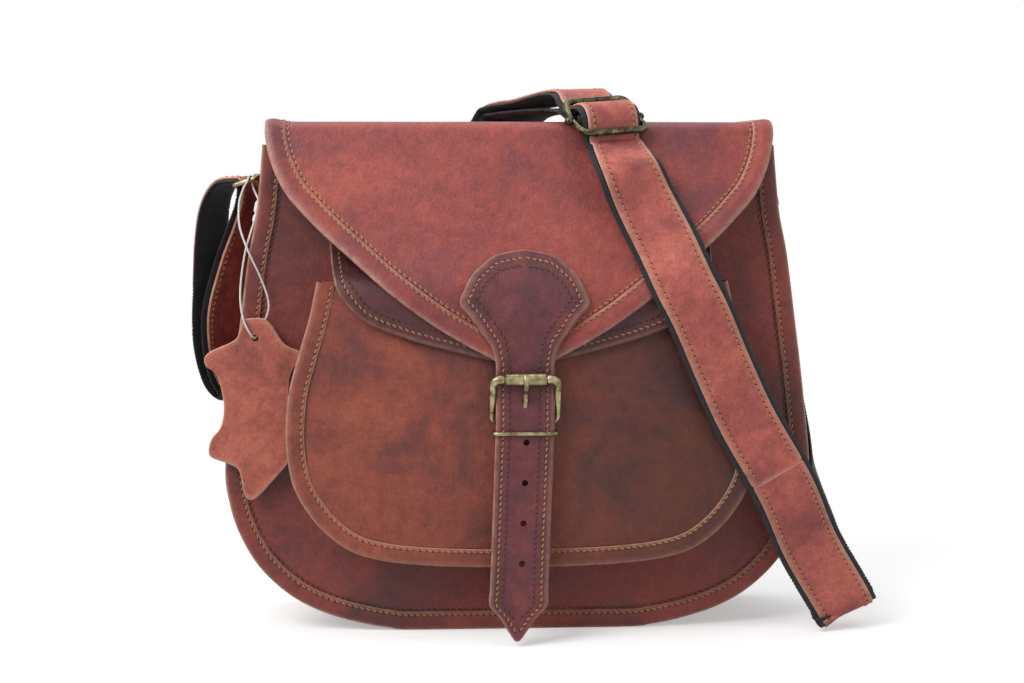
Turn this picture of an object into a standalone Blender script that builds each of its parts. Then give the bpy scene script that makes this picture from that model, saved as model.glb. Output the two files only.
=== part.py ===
"""Crossbody leather satchel with a front pocket, a buckled flap and a webbing shoulder strap.

Metres, +Z up. The satchel stands on z = 0, its front faces -Y and the origin is the middle of its base.
"""

import math

import bmesh
import bpy
import numpy as np

# Body
HALF_WIDTH = 0.140
HEIGHT = 0.232
HALF_DEPTH = 0.0375
GAP = 0.0003
PANEL = 0.0020
FLANGE = 0.0015
BINDING = 0.0010
BINDING_WIDTH = 0.0090
GUSSET_INSET = 0.0095
BASE_HALF_DEPTH = 0.018
LINING = 0.0008
LINING_EASE = 0.0008

# Half outline of the body's lips, from the middle of the base up: shares of half width and height
LIP_SHARES = [
    (0.33, 0.0), (0.45, 0.005), (0.56, 0.018), (0.68, 0.041), (0.79, 0.078), (0.89, 0.136), (0.955, 0.205),
    (0.988, 0.27), (1.0, 0.345), (0.971, 0.517), (0.943, 0.647), (0.914, 0.776), (0.886, 0.862),
    (0.871, 0.95), (0.864, 1.0),
]

# The gusset's wall sags to the ground where its base is flat: share of the way it starts at, and its run
SAG_SHARES = (0.30, 0.12)

# Front pocket
POCKET_HALF_WIDTH = 0.110
POCKET_BOTTOM = 0.035
POCKET_HEIGHT = 0.134
POCKET_TOP = POCKET_BOTTOM + POCKET_HEIGHT
POCKET_DEPTH = 0.0245
POCKET_BULGE = 0.0045
BULGE_POWER = 2.4
POCKET_LEATHER = 0.0018
POCKET_FLANGE = 0.0080
POCKET_INSET = 0.0065
BORDER = 0.0009
BORDER_WIDTH = 0.0085

# Half outline of the pocket, from the middle of its bottom up: shares of its half width and height
POCKET_SHARES = [
    (0.0, 0.0), (0.22, 0.002), (0.42, 0.010), (0.60, 0.028), (0.74, 0.066), (0.865, 0.150), (0.955, 0.260),
    (0.99, 0.360), (1.0, 0.480), (0.985, 0.620), (0.945, 0.745), (0.90, 0.870), (0.865, 1.0),
]

# Main flap
FLAP = 0.0022
FLAP_HALF_WIDTH = 0.1185
PANEL_RISE = 0.006
FOLD_RISE = 0.0047
CORNER_DROP = 0.0061
KNEE_DROP = 0.004
FLAP_TIP = 0.1286
PANEL_TOP = HEIGHT + PANEL_RISE
FLAP_TOP = PANEL_TOP + FOLD_RISE
FLAP_CORNER = FLAP_TOP - CORNER_DROP
FLAP_KNEE = POCKET_TOP - KNEE_DROP
FLAP_FOLD_RADIUS = 0.0021
FLAP_CORNER_RADIUS = 0.0060
FLAP_KNEE_RADIUS = 0.035
FRONT_EASE = 0.0027
FLAP_FRONT = HALF_DEPTH + FRONT_EASE
FLAP_SEAM = 0.012
COVER_EASE = 0.0010

# Lower edge of the main flap, from its tip: shares of its half width, and of the height from tip to corner
FLAP_EDGE_SHARES = [
    (0.0, 0.0), (0.080, 0.030), (0.169, 0.080), (0.262, 0.136), (0.371, 0.212), (0.506, 0.322),
    (0.590, 0.400), (0.675, 0.484), (0.776, 0.582), (0.852, 0.666), (0.915, 0.745), (0.962, 0.842),
    (0.987, 0.925), (1.0, 1.0),
]

# Pocket flap
POCKET_FLAP = 0.0018
POCKET_FLAP_HALF_WIDTH = 0.0888
POCKET_FLAP_RISE = 0.028
POCKET_FLAP_HEIGHT = 0.0655
POCKET_FLAP_SEWN = 0.003
POCKET_FLAP_DROP = 0.0025
POCKET_FLAP_SEAM = POCKET_TOP + POCKET_FLAP_RISE
POCKET_FLAP_TIP = POCKET_FLAP_SEAM - POCKET_FLAP_HEIGHT
POCKET_FLAP_START = POCKET_FLAP_SEAM - POCKET_FLAP_SEWN
POCKET_FLAP_KNEE = POCKET_TOP - POCKET_FLAP_DROP
POCKET_FLAP_RADIUS = 0.012
POCKET_FLAP_BEND = 0.004

# Lower edge of the pocket flap, from its tip: shares of its half width, and of the height from tip to seam
POCKET_FLAP_EDGE_SHARES = [
    (0.0, 0.0), (0.13, 0.020), (0.40, 0.105), (0.643, 0.202), (0.823, 0.307), (0.925, 0.45), (0.965, 0.54),
    (0.985, 0.66), (1.0, 0.83),
]

# Closure strap: fan patch sewn on the flap, and billet
STRAP = 0.0020
STRAP_BACKING = 0.0010
BILLET_HALF_WIDTH = 0.0127
FAN_HALF_WIDTH = 0.029
FAN_HEIGHT = 0.0509
FAN_RISE = 0.0034
FAN_BOTTOM = FLAP_TIP + FAN_RISE
FAN_TOP = FAN_BOTTOM + FAN_HEIGHT
BILLET_END = 0.0034
BILLET_POINT = 0.0165
BILLET_LEAN = 0.0036
BACKING_INSET = 0.0041
BACKING_END = BILLET_END + BACKING_INSET

# Half width of the fan patch, from its top: shares of its height and of its half width
FAN_SHARES = [
    (0.0, 0.04), (0.028, 0.31), (0.061, 0.50), (0.135, 0.66), (0.224, 0.82), (0.352, 0.94), (0.462, 1.0),
    (0.56, 0.86), (0.70, 0.68), (0.86, 0.50), (1.0, 0.44),
]

# Rows of the fan patch down the flap, and where it climbs on to the border strip: shares of its height
FAN_STATION_SHARES = (0, 0.2, 0.38, 0.6, 0.8, 1.0)
BORDER_START_SHARE = 0.5

# Half width of the billet's point: shares of its length and of the billet's half width
POINT_SHARES = ((0.35, 0.62), (0.7, 0.32), (0.93, 0.12), (1.0, 0.04))
BACKING_POINT_SHARE = 0.08

HOLE_PITCH = 0.0188
HOLE_RADIUS = 0.0015
HOLE_COUNT = 4
HOLE_OFFSET = 0.0008

# Buckle
ROLLER_DROP = 0.0036
BUCKLE_LENGTH = 0.0205
PRONG_DROP = 0.0105
BACKING_RISE = 0.0015
ROLLER_HEIGHT = FLAP_TIP - ROLLER_DROP
HEEL_HEIGHT = ROLLER_HEIGHT - BUCKLE_LENGTH
PRONG_HOLE = ROLLER_HEIGHT - PRONG_DROP
BACKING_TOP = ROLLER_HEIGHT + BACKING_RISE
HEEL_RADIUS = 0.0016
FRAME_SIDE_RADIUS = 0.0017
FRAME_CORNER_RADIUS = 0.0022
END_BAR_RADIUS = 0.0014
ROLLER_RADIUS = 0.0030
ROLLER_BORE = 0.0017
ROLLER_LENGTH = 0.0188
FRAME_HALF_WIDTH = 0.0150
FRAME_BEND = 0.0034
PRONG_RADIUS = 0.0012
PRONG_RING = 0.0012
CHAPE = 0.0016
CHAPE_HALF_WIDTH = 0.0120
CHAPE_LENGTH = 0.0305
CHAPE_BOTTOM = HEEL_HEIGHT - CHAPE_LENGTH
PRONG_SLOT = 0.0034
KEEPER_RADIUS = 0.0010
KEEPER_DROP = 0.0045
KEEPER_HALF_WIDTH = 0.0145

# Middle of the prong beyond its ring: shares of the way from the heel bar to the roller, forward and up
PRONG_SHARES = [
    (0.215, 0.073), (0.41, 0.366), (0.68, 0.683), (0.948, 0.849), (1.0, 1.0), (0.97, 1.107),
]

# Side rings and their tabs
RING_RADIUS = 0.0012
RING_LENGTH = 0.0130
RING_EASE = 0.0005
RING_BEND = 0.0022
RING_SHARE = 0.93319
RING_HEIGHT = HEIGHT * RING_SHARE
RING_MIDDLE = 0.0015

# For the left and right ring: how far it turns to the front, how far its outer bar hangs below level,
# and how far its inner bar stands off the gusset
RING_YAWS = {-1: math.radians(14), 1: 0}
RING_TILTS = {-1: math.radians(19), 1: math.radians(62)}
RING_STANDS = {-1: 0.0080, 1: 0.0062}
TAB = 0.0016
TAB_HALF_WIDTH = 0.0130
TAB_DROP = 0.0320

# The tab's outer layer on its way back to the gusset, below the ring: share of the ring's stand
TAB_RETURN_SHARE = 0.8

# Shoulder strap
WEBBING_HALF_WIDTH = 0.0150
WEBBING_THICKNESS = 0.0016
STRAP_LEATHER_HALF_WIDTH = 0.0128
STRAP_LEATHER = 0.0014
STRAP_STEP = 0.0100

# Slider, across the top front edge
SLIDER_PLACE_SHARES = (0.278, -1.25, 1.051)
SLIDER_WAY = (0.36, -0.69, -0.62)
SLIDER_ACROSS = (0.86, 0.40, 0.08)
SLIDER_RADIUS = 0.0014
SLIDER_HALF_LENGTH = 0.0118
SLIDER_ARCH = 0.0020
SLIDER_BEND = 0.0030
SLIDER_EASE = 0.0006

# Rows of the webbing through the slider and at its sewn end: shares of the slider's half length
THROUGH_SLIDER_SHARES = (1.4, 1, 0.3, -0.3, -1, -1.4)
SLIDER_END_SHARES = (1.4, 0.75)

# Hang tag, its string and the string's lock
TAG_LEFT = -0.1481
TAG_HANG = 0.1509
TAG_BOTTOM = RING_HEIGHT - TAG_HANG
TAG_WIDTH = 0.0447
TAG_HEIGHT = 0.0851
TAG_DEPTH = 0.0436
TAG = 0.0016
TAG_HOLE_SHARES = (0.523, 0.894)
TAG_HOLE_RADIUS = 0.0016
STRING_RADIUS = 0.0005
LOCK_RADIUS = 0.0015

# Outline of the tag, a hide with ragged lobes: shares of its width and height
TAG_SHARES = [
    (0.405, 1.0), (0.64, 0.994), (0.83, 0.86), (1.0, 0.807), (0.90, 0.70), (0.872, 0.60), (0.865, 0.30),
    (0.87, 0.215), (0.72, 0.115), (0.503, 0.0), (0.40, 0.02), (0.34, 0.157), (0.22, 0.20), (0.038, 0.242),
    (0.05, 0.33), (0.15, 0.40), (0.19, 0.503), (0.16, 0.62), (0.11, 0.70), (0.0, 0.747), (0.031, 0.811),
    (0.304, 0.881), (0.36, 0.93),
]

# The string, from the lower end of its lock, through the tag, over the left ring and back to the lock:
# sideways, forward and up from the height of the ring's bar
STRING_ROUTE = [
    (-0.1256, -0.0294, -0.0213), (-0.1272, -0.0350, -0.0270), (-0.1292, -0.0392, -0.0350),
    (-0.1311, -0.0405, -0.0472), (-0.1314, -0.0430, -0.0575), (-0.1298, -0.0456, -0.0665),
    (-0.1264, -0.0461, -0.0733), (-0.1247, -0.0436, -0.0748), (-0.1233, -0.0410, -0.0733),
    (-0.1200, -0.0412, -0.0665), (-0.1183, -0.0412, -0.0605), (-0.1193, -0.0413, -0.0540),
    (-0.1227, -0.0418, -0.0449), (-0.1276, -0.0415, -0.0343), (-0.1318, -0.0368, -0.0229),
    (-0.1325, -0.0298, -0.0127), (-0.1312, -0.0222, -0.0060), (-0.1294, -0.0166, -0.0019),
    (-0.1285, -0.0141, 0.0009), (-0.1278, -0.0115, -0.0015), (-0.1268, -0.0122, -0.0053),
    (-0.1252, -0.0168, -0.0083), (-0.1236, -0.0223, -0.0109),
]

# The point on the left ring that the string hangs from
STRING_HINGE = np.array((-0.1285, -0.0141, RING_HEIGHT - 0.0010))

# The lock from its lower to its upper end: place and radius
LOCK_SHARES = (
    (0.0, 0.45), (0.06, 0.7), (0.28, 0.7), (0.36, 0.4), (0.45, 0.55), (0.55, 1.0), (0.88, 1.0), (1.0, 0.6)
)

# Route of the webbing: shares of half width, half depth and height, then its width direction.
# In front of the body, a depth share past -1 counts on to the face of the flap.
RIGHT_SIDE_SHARES = [
    (0.905, 0.05, 0.830, 0, 1, 0), (0.912, 0.05, 0.775, 0, 1, 0), (0.930, 0.03, 0.700, 0, 1, 0),
    (0.960, -0.03, 0.600, 0, 1, 0), (0.996, -0.12, 0.483, 0.02, 1, 0.03),
    (1.036, -0.38, 0.353, 0.12, 0.98, 0.1),
    (1.060, -0.72, 0.233, 0.43, 0.89, 0.15), (1.071, -1.03, 0.134, 0.75, 0.6, 0.28),
    (1.100, -1.23, 0.062, 0.92, 0.1, 0.37), (1.107, -1.31, 0.047, 0.93, 0, 0.367),
    (1.100, -1.39, 0.060, 0.92, 0, 0.38),
]
FRONT_RUN_SHARES = [
    (0.977, -1.50, 0.184, 0.91, 0, 0.42), (0.876, -1.80, 0.309, 0.91, 0, 0.42),
    (0.745, -1.90, 0.443, 0.91, 0, 0.42), (0.661, -1.97, 0.547, 0.91, 0, 0.42),
    (0.576, -2.07, 0.661, 0.9, 0, 0.43), (0.521, -2.09, 0.724, 0.89, 0, 0.46),
    (0.464, -1.96, 0.802, 0.87, 0, 0.49), (0.394, -1.83, 0.886, 0.87, 0.12, 0.38),
    (0.345, -1.84, 0.950, 0.87, 0.26, 0.24),
]
OVER_TOP_SHARES = [
    (0.213, -0.66, 1.103, 0.86, 0.43, 0.06), (0.180, -0.41, 1.103, 0.88, 0.47, 0),
    (0.127, -0.03, 1.096, 0.88, 0.47, 0), (0.073, 0.37, 1.088, 0.88, 0.47, 0),
    (0.021, 0.77, 1.082, 0.88, 0.47, -0.06), (-0.020, 1.13, 1.061, 0.86, 0.4, -0.3),
    (-0.058, 1.17, 1.012, 0.8, 0.1, -0.6), (-0.160, 1.16, 0.942, 0.72, 0, -0.7),
    (-0.400, 1.16, 0.813, 0.7, 0, -0.72), (-0.640, 1.16, 0.697, 0.7, 0, -0.72),
    (-0.860, 1.17, 0.591, 0.62, 0, -0.78), (-0.979, 1.16, 0.526, 0.3, 0, -0.95),
]
LEFT_FAR_SHARES = [
    (-1.030, 1.08, 0.513, 0, 0, -1), (-1.050, 0.83, 0.517, -0.1, -0.2, -0.97),
    (-1.068, 0.53, 0.547, -0.3, -0.6, -0.7), (-1.075, 0.29, 0.616, -0.45, -0.85, -0.25),
    (-1.068, 0.19, 0.711, -0.45, -0.89, 0), (-1.061, 0.17, 0.806, -0.42, -0.9, 0),
    (-1.046, 0.18, 0.875, -0.35, -0.93, 0), (-1.007, 0.17, 0.918, -0.28, -0.96, 0),
]
LEFT_NEAR_SHARES = [
    (-0.934, 0.09, 0.875, -0.3, -0.95, 0), (-0.950, 0.07, 0.810, -0.5, -0.86, 0),
    (-0.979, 0.04, 0.737, -0.66, -0.75, 0), (-1.014, 0.11, 0.659, -0.7, -0.68, -0.2),
    (-1.034, 0.32, 0.586, -0.5, -0.62, -0.6), (-1.029, 0.61, 0.530, -0.25, -0.35, -0.9),
    (-1.016, 0.88, 0.509, 0, 0, -1), (-1.009, 1.04, 0.509, 0, 0, -1), (-0.957, 1.08, 0.522, 0.3, 0, -0.95),
    (-0.860, 1.06, 0.567, 0.62, 0, -0.78), (-0.640, 1.06, 0.675, 0.7, 0, -0.72),
    (-0.400, 1.06, 0.791, 0.7, 0, -0.72), (-0.160, 1.06, 0.920, 0.72, 0, -0.7),
    (-0.047, 1.08, 0.990, 0.8, 0.1, -0.6), (-0.006, 1.07, 1.047, 0.86, 0.4, -0.3),
    (0.031, 0.78, 1.065, 0.88, 0.47, -0.06), (0.087, 0.35, 1.071, 0.88, 0.47, 0),
    (0.147, -0.11, 1.072, 0.88, 0.47, 0), (0.205, -0.53, 1.074, 0.87, 0.46, 0.06),
]

# Depths in front of the middle plane, one layer over the next
POCKET_FACE = HALF_DEPTH + POCKET_DEPTH
POCKET_RIM = POCKET_FACE - BORDER - GAP
POCKET_FRONT = POCKET_RIM + POCKET_BULGE
POCKET_FLAP_BACK = POCKET_FRONT + COVER_EASE
FLAP_BACK = POCKET_FLAP_BACK + POCKET_FLAP + COVER_EASE
FLAP_FACE = FLAP_BACK + FLAP
STRAP_BACK = FLAP_FACE + BORDER + 2 * GAP
ROLLER_DEPTH = STRAP_BACK + STRAP + GAP + ROLLER_RADIUS
CHAPE_BACK = POCKET_FRONT + GAP
HEEL_DEPTH = CHAPE_BACK + CHAPE + GAP + HEEL_RADIUS
CHAPE_FACE = HEEL_DEPTH + HEEL_RADIUS + GAP + CHAPE
HEEL_STRAP = CHAPE_FACE + STRAP_BACKING + 2 * GAP + STRAP / 2

# Colours
LEATHER_RED = (0.215, 0.060, 0.040, 1.0)
LEATHER_DARK = (0.110, 0.030, 0.030, 1.0)
LEATHER_TAN = (0.330, 0.090, 0.045, 1.0)
LINING_COLOUR = (0.120, 0.090, 0.070, 1.0)
WEBBING_COLOUR = (0.018, 0.020, 0.024, 1.0)
BRASS = (0.230, 0.180, 0.100, 1.0)
DARK_BRASS = (0.110, 0.100, 0.080, 1.0)
WHITE = (0.800, 0.800, 0.780, 1.0)

LEATHER = (LEATHER_RED, 0.5)
DARK_LEATHER = (LEATHER_DARK, 0.5)
TAN_LEATHER = (LEATHER_TAN, 0.5)
CLOTH = (LINING_COLOUR, 0.9)
WEBBING = (WEBBING_COLOUR, 0.8)
METAL = (BRASS, 0.35, 1.0)
DARK_METAL = (DARK_BRASS, 0.4, 1.0)
PLASTIC = (WHITE, 0.4)


# Helpers: outlines and closed bodies

def clear_scene():
    for obj in list(bpy.data.objects):
        bpy.data.objects.remove(obj, do_unlink=True)


def between(a, b, c, d, t):
    """A point of the smooth curve through a, b, c and d, at the share t of the way from b to c."""
    return 0.5 * (2 * b + (c - a) * t + (2 * a - 5 * b + 4 * c - d) * t**2 + (3 * b - a - 3 * c + d) * t**3)


def smooth_path(points, count):
    """A smooth curve through the points, as `count` points at even spacing."""
    points = np.array(points, float)
    ends = [2 * points[0] - points[1], *points, 2 * points[-1] - points[-2]]
    fine = []
    for a, b, c, d in zip(ends, ends[1:], ends[2:], ends[3:]):
        for t in np.linspace(0, 1, 12, endpoint=False):
            fine.append(between(a, b, c, d, t))
    fine.append(points[-1])
    return resample(np.array(fine), count)


def resample(points, count):
    steps = np.linalg.norm(np.diff(points, axis=0), axis=1)
    along = np.concatenate([[0.0], np.cumsum(steps)])
    wanted = np.linspace(0, along[-1], count)
    return np.stack([np.interp(wanted, along, points[:, k]) for k in range(points.shape[1])], axis=1)


def unit(vectors):
    return vectors / np.linalg.norm(vectors, axis=-1, keepdims=True)


def tangents(points):
    return unit(np.gradient(points, axis=0))


def inward(outline):
    """Normals of a plane outline that runs anticlockwise as seen from the front, pointing into it."""
    along = tangents(outline)
    return np.stack([-along[:, 1], along[:, 0]], axis=1)


def at_depth(outline, depth):
    """Points of a plane outline (x, z), placed at y = depth."""
    return np.stack([outline[:, 0], np.full(len(outline), depth), outline[:, 1]], axis=1)


def material(name, colour, roughness=0.6, metallic=0.0):
    made = bpy.data.materials.new(name)
    made.use_nodes = True
    shader = made.node_tree.nodes["Principled BSDF"]
    shader.inputs["Base Color"].default_value = colour
    shader.inputs["Roughness"].default_value = roughness
    shader.inputs["Metallic"].default_value = metallic
    return made


def add_body(name, verts, faces, look, pivot=(0.0, 0.0, 0.0)):
    """One object from points and faces, its faces turned outward and its origin at the pivot."""
    mesh = bpy.data.meshes.new(name)
    shift = np.array(pivot, float)
    mesh.from_pydata([tuple(v) for v in np.array(verts, float) - shift], [], faces)
    work = bmesh.new()
    work.from_mesh(mesh)
    bmesh.ops.triangulate(work, faces=[f for f in work.faces if len(f.verts) > 4])
    bmesh.ops.recalc_face_normals(work, faces=work.faces)
    work.to_mesh(mesh)
    work.free()
    mesh.shade_smooth()
    mesh.set_sharp_from_angle(angle=math.radians(35))
    obj = bpy.data.objects.new(name, mesh)
    obj.location = shift
    mesh.materials.append(material(name + "_look", *look))
    bpy.context.scene.collection.objects.link(obj)
    return obj


def loft(name, rings, look, pivot=(0.0, 0.0, 0.0), closed=False):
    """One closed body through a row of rings with flat ends, or right round when closed."""
    rings = np.array(rings, float)
    count, around = rings.shape[:2]
    faces = []
    for i in range(count if closed else count - 1):
        j = (i + 1) % count
        for a in range(around):
            b = (a + 1) % around
            faces.append((i * around + a, i * around + b, j * around + b, j * around + a))
    if not closed:
        faces.append(tuple(range(around)))
        faces.append(tuple((count - 1) * around + a for a in range(around)))
    return add_body(name, rings.reshape(-1, 3), faces, look, pivot)


def along_outline(name, outline, section, look):
    """A strip along a plane outline. section(share) gives its (inset, y) corners at that share of the way."""
    normals = inward(outline)
    rings = []
    for i, (point, normal) in enumerate(zip(outline, normals)):
        corners = section(i / (len(outline) - 1))
        rings.append([(point[0] + normal[0] * n, y, point[1] + normal[1] * n) for n, y in corners])
    return loft(name, rings, look)


def cut(obj, cutter):
    """Takes the cutter's shape out of the object. The cutter stays as a hidden helper."""
    cutter.hide_render = True
    cutter.display_type = "WIRE"
    hole = obj.modifiers.new("cut", "BOOLEAN")
    hole.operation = "DIFFERENCE"
    hole.object = cutter
    return obj


class Profile:
    """A curve in the YZ plane that is read by its length. Its outer side is on the left of its way."""

    def __init__(self, points):
        self.points = np.array(points, float)
        steps = np.linalg.norm(np.diff(self.points, axis=0), axis=1)
        self.along = np.concatenate([[0.0], np.cumsum(steps)])
        way = tangents(self.points)
        self.outward = np.stack([way[:, 1], -way[:, 0]], axis=1)

    def at(self, length, lift=0.0):
        """Points (y, z) at these lengths, raised off the curve by lift."""
        place = [np.interp(length, self.along, self.points[:, k]) for k in (0, 1)]
        facing = unit(np.stack([np.interp(length, self.along, self.outward[:, k]) for k in (0, 1)], axis=-1))
        return np.stack(place, axis=-1) + facing * np.expand_dims(lift, -1)

    def reach(self, height):
        """Length at which the last, falling part of the curve comes down to this height."""
        top = int(np.argmax(self.points[:, 1]))
        return np.interp(-height, -self.points[top:, 1], self.along[top:])


def rounded(points, radii, steps=5):
    """A path with straight runs, each inner corner rounded by its radius."""
    points = np.array(points, float)
    made = [points[0]]
    for before, corner, after, radius in zip(points, points[1:], points[2:], radii):
        back, ahead = unit(before - corner), unit(after - corner)
        half = math.acos(np.clip(back @ ahead, -1, 1)) / 2
        centre = corner + unit(back + ahead) * radius / math.sin(half)
        start = corner + back * radius / math.tan(half)
        end = corner + ahead * radius / math.tan(half)
        for t in np.linspace(0, 1, steps):
            made.append(centre + unit(start + (end - start) * t - centre) * radius)
    made.append(points[-1])
    return np.array(made)


def hanging_sheet(name, profile, edge, thickness, bend_end, steps, look, pivot):
    """A leather sheet along a profile, its lower edge at (x, z). Its top end is round, about the profile."""
    shared = profile.along[profile.along <= bend_end]
    half = thickness / 2
    rings = []
    for x, z in edge:
        end = profile.reach(z)
        lengths = np.concatenate([shared, np.linspace(shared[-1], end, steps)[1:]])
        outer, inner = profile.at(lengths, half), profile.at(lengths, -half)
        start = profile.points[0]
        back = unit(profile.points[0] - profile.points[1])
        side = profile.outward[0]
        angles = (math.pi / 4, math.pi / 2, 3 * math.pi / 4)
        turn = [start + half * (back * math.sin(a) - side * math.cos(a)) for a in angles]
        ring = np.concatenate([outer, inner[::-1], turn])
        rings.append(np.stack([np.full(len(ring), x), ring[:, 0], ring[:, 1]], axis=1))
    return loft(name, rings, look, pivot)


def edge_strip(name, profile, route, width, low, high, look, pivot=(0.0, 0.0, 0.0)):
    """A thin strip laid along an edge of a sheet. Its route is (x, length along the profile)."""
    flat = route * (1, -1)
    normals = inward(flat) * (1, -1)
    rings = []
    for point, normal in zip(route, normals):
        ring = []
        half = width / 2
        for inset, lift in ((0, low), (half, low), (width, low), (width, high), (half, high), (0, high)):
            x, length = point + normal * inset
            y, z = profile.at(length, lift)
            ring.append((x, y, z))
        rings.append(ring)
    return loft(name, rings, look, pivot)


def ribbon(name, centres, across, half_widths, thickness, look, lift=0.0, pivot=(0.0, 0.0, 0.0)):
    """A flat strip along its centre line. across holds its width direction at each point."""
    centres = np.array(centres, float)
    across = np.broadcast_to(np.array(across, float), centres.shape)
    way = tangents(centres)
    facing = unit(np.cross(way, across))
    halves = np.broadcast_to(np.array(half_widths, float), len(centres))[:, None]
    corners = [(-1, -1), (1, -1), (1, 1), (-1, 1)]
    rings = [centres + across * halves * a + facing * (lift + b * thickness / 2) for a, b in corners]
    return loft(name, np.stack(rings, axis=1), look, pivot)


def tube(name, centres, radii, normal, look, sides=10, closed=False, pivot=(0.0, 0.0, 0.0)):
    """A round rod along a path that lies in the plane with this normal."""
    centres = np.array(centres, float)
    if closed:
        way = unit(np.roll(centres, -1, axis=0) - np.roll(centres, 1, axis=0))
    else:
        way = tangents(centres)
    up = np.broadcast_to(unit(np.array(normal, float)), centres.shape)
    side = unit(np.cross(way, up))
    radii = np.broadcast_to(np.array(radii, float), len(centres))[:, None]
    angles = [2 * math.pi * k / sides for k in range(sides)]
    rings = [centres + radii * (up * math.cos(a) + side * math.sin(a)) for a in angles]
    return loft(name, np.stack(rings, axis=1), look, pivot, closed)


def cylinders(name, places, radius, half_length):
    """Round cutters along Y at these (x, y, z) places."""
    verts, faces = [], []
    sides = 12
    for x, y, z in places:
        first = len(verts)
        for end in (-half_length, half_length):
            for k in range(sides):
                a = 2 * math.pi * (k + 0.5) / sides
                rise = radius * math.sin(a)
                verts.append((x + radius * math.cos(a), y + end, z + rise))
        near = tuple(range(first, first + sides))
        far = tuple(range(first + sides, first + 2 * sides))
        faces += [near, far]
        faces += [(near[k], near[(k + 1) % sides], far[(k + 1) % sides], far[k]) for k in range(sides)]
    return add_body(name, verts, faces, CLOTH)


# Body

def both_sides(shares, half_width, height, base=0.0):
    """Outline from the top left corner, down, along the bottom and up to the top right corner."""
    right = np.array([(x * half_width, base + z * height) for x, z in shares])
    left = right[::-1] * (-1, 1)
    return np.concatenate([left, right[1:] if shares[0][0] == 0 else right])


def lip_outline():
    outline = smooth_path(both_sides(LIP_SHARES, HALF_WIDTH, HEIGHT), 44)
    outline[:, 1] = np.maximum(outline[:, 1], 0)
    return outline


def binding(name, side):
    """Leather folded round a lip of the body, its outer face at the body's full depth."""
    front = HALF_DEPTH
    rear = HALF_DEPTH - 2 * BINDING - PANEL - FLANGE - 3 * GAP
    corners = [
        (0, front - BINDING / 2), (0, rear + BINDING / 2), (BINDING / 2, rear), (BINDING_WIDTH, rear),
        (BINDING_WIDTH, rear + BINDING), (BINDING, rear + BINDING), (BINDING, front - BINDING),
        (BINDING_WIDTH, front - BINDING), (BINDING_WIDTH, front), (BINDING / 2, front),
    ]
    return along_outline(name, lip_outline(), lambda _: [(n, side * y) for n, y in corners], LEATHER)


def panel(name, side, top):
    """Flat front or back of the body, inside its binding, up to its own top edge."""
    outline = lip_outline()
    outline = outline + inward(outline) * (BINDING + GAP)
    if top > HEIGHT:
        rise = (0, top - HEIGHT)
        outline = np.concatenate([[outline[0] + rise], outline, [outline[-1] + rise]])
    outer = side * (HALF_DEPTH - BINDING - GAP)
    inner = outer - side * PANEL
    return loft(name, [at_depth(outline, outer), at_depth(outline, inner)], LEATHER)


def gusset_section(share):
    """Wall of the gusset with its two sewn flanges. Along the base the wall sags to the ground."""
    outer = HALF_DEPTH - BINDING - PANEL - 2 * GAP
    wall = GUSSET_INSET
    edge = BINDING + GAP
    across = abs(share - 0.5) * 2
    start_share, run_share = SAG_SHARES
    sag = wall * max(0.0, min(1.0, (start_share - across) / run_share))
    deep = BASE_HALF_DEPTH
    start = (deep + outer) / 2
    half = [
        (edge, outer), (edge, outer - FLANGE), (wall, outer - FLANGE), (wall, start), (wall - sag, deep)
    ]
    back = [(wall - sag + FLANGE, deep), (wall + FLANGE, start), (wall + FLANGE, outer)]
    mirrored = [(n, -y) for n, y in reversed(half)]
    return half + mirrored + [(n, -y) for n, y in reversed(back)] + back


def side_gusset():
    return along_outline("side_gusset", lip_outline(), gusset_section, LEATHER)


def main_lining():
    """Thin cup inside the body, open at the top."""
    outline = lip_outline()
    normals = inward(outline)
    outer = outline + normals * (GUSSET_INSET + FLANGE + LINING_EASE)
    inner = outer + normals * LINING
    deep = HALF_DEPTH - BINDING - GAP - PANEL - LINING_EASE
    return open_box("main_lining", outer, inner, -deep, deep, LINING, CLOTH)


def open_box(name, outer, inner, front, back, wall, look):
    """A thin cup between two depths, its side wall along an outline that is open at the top."""
    count = len(outer)
    rows = [
        at_depth(outer, front), at_depth(outer, back),
        at_depth(inner, front + wall), at_depth(inner, back - wall),
    ]
    faces = [tuple(range(count)), tuple(range(count, 2 * count))]
    faces += [tuple(range(2 * count, 3 * count)), tuple(range(3 * count, 4 * count))]
    for i in range(count - 1):
        faces.append((i, i + 1, count + i + 1, count + i))
        faces.append((2 * count + i, 2 * count + i + 1, 3 * count + i + 1, 3 * count + i))
    last = count - 1
    faces.append((0, last, 2 * count + last, 2 * count))
    faces.append((count, count + last, 3 * count + last, 3 * count))
    faces.append((0, count, 3 * count, 2 * count))
    faces.append((last, count + last, 3 * count + last, 2 * count + last))
    return add_body(name, np.concatenate(rows), faces, look)


# Front pocket

def pocket_outline():
    return smooth_path(both_sides(POCKET_SHARES, POCKET_HALF_WIDTH, POCKET_HEIGHT, POCKET_BOTTOM), 38)


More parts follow.
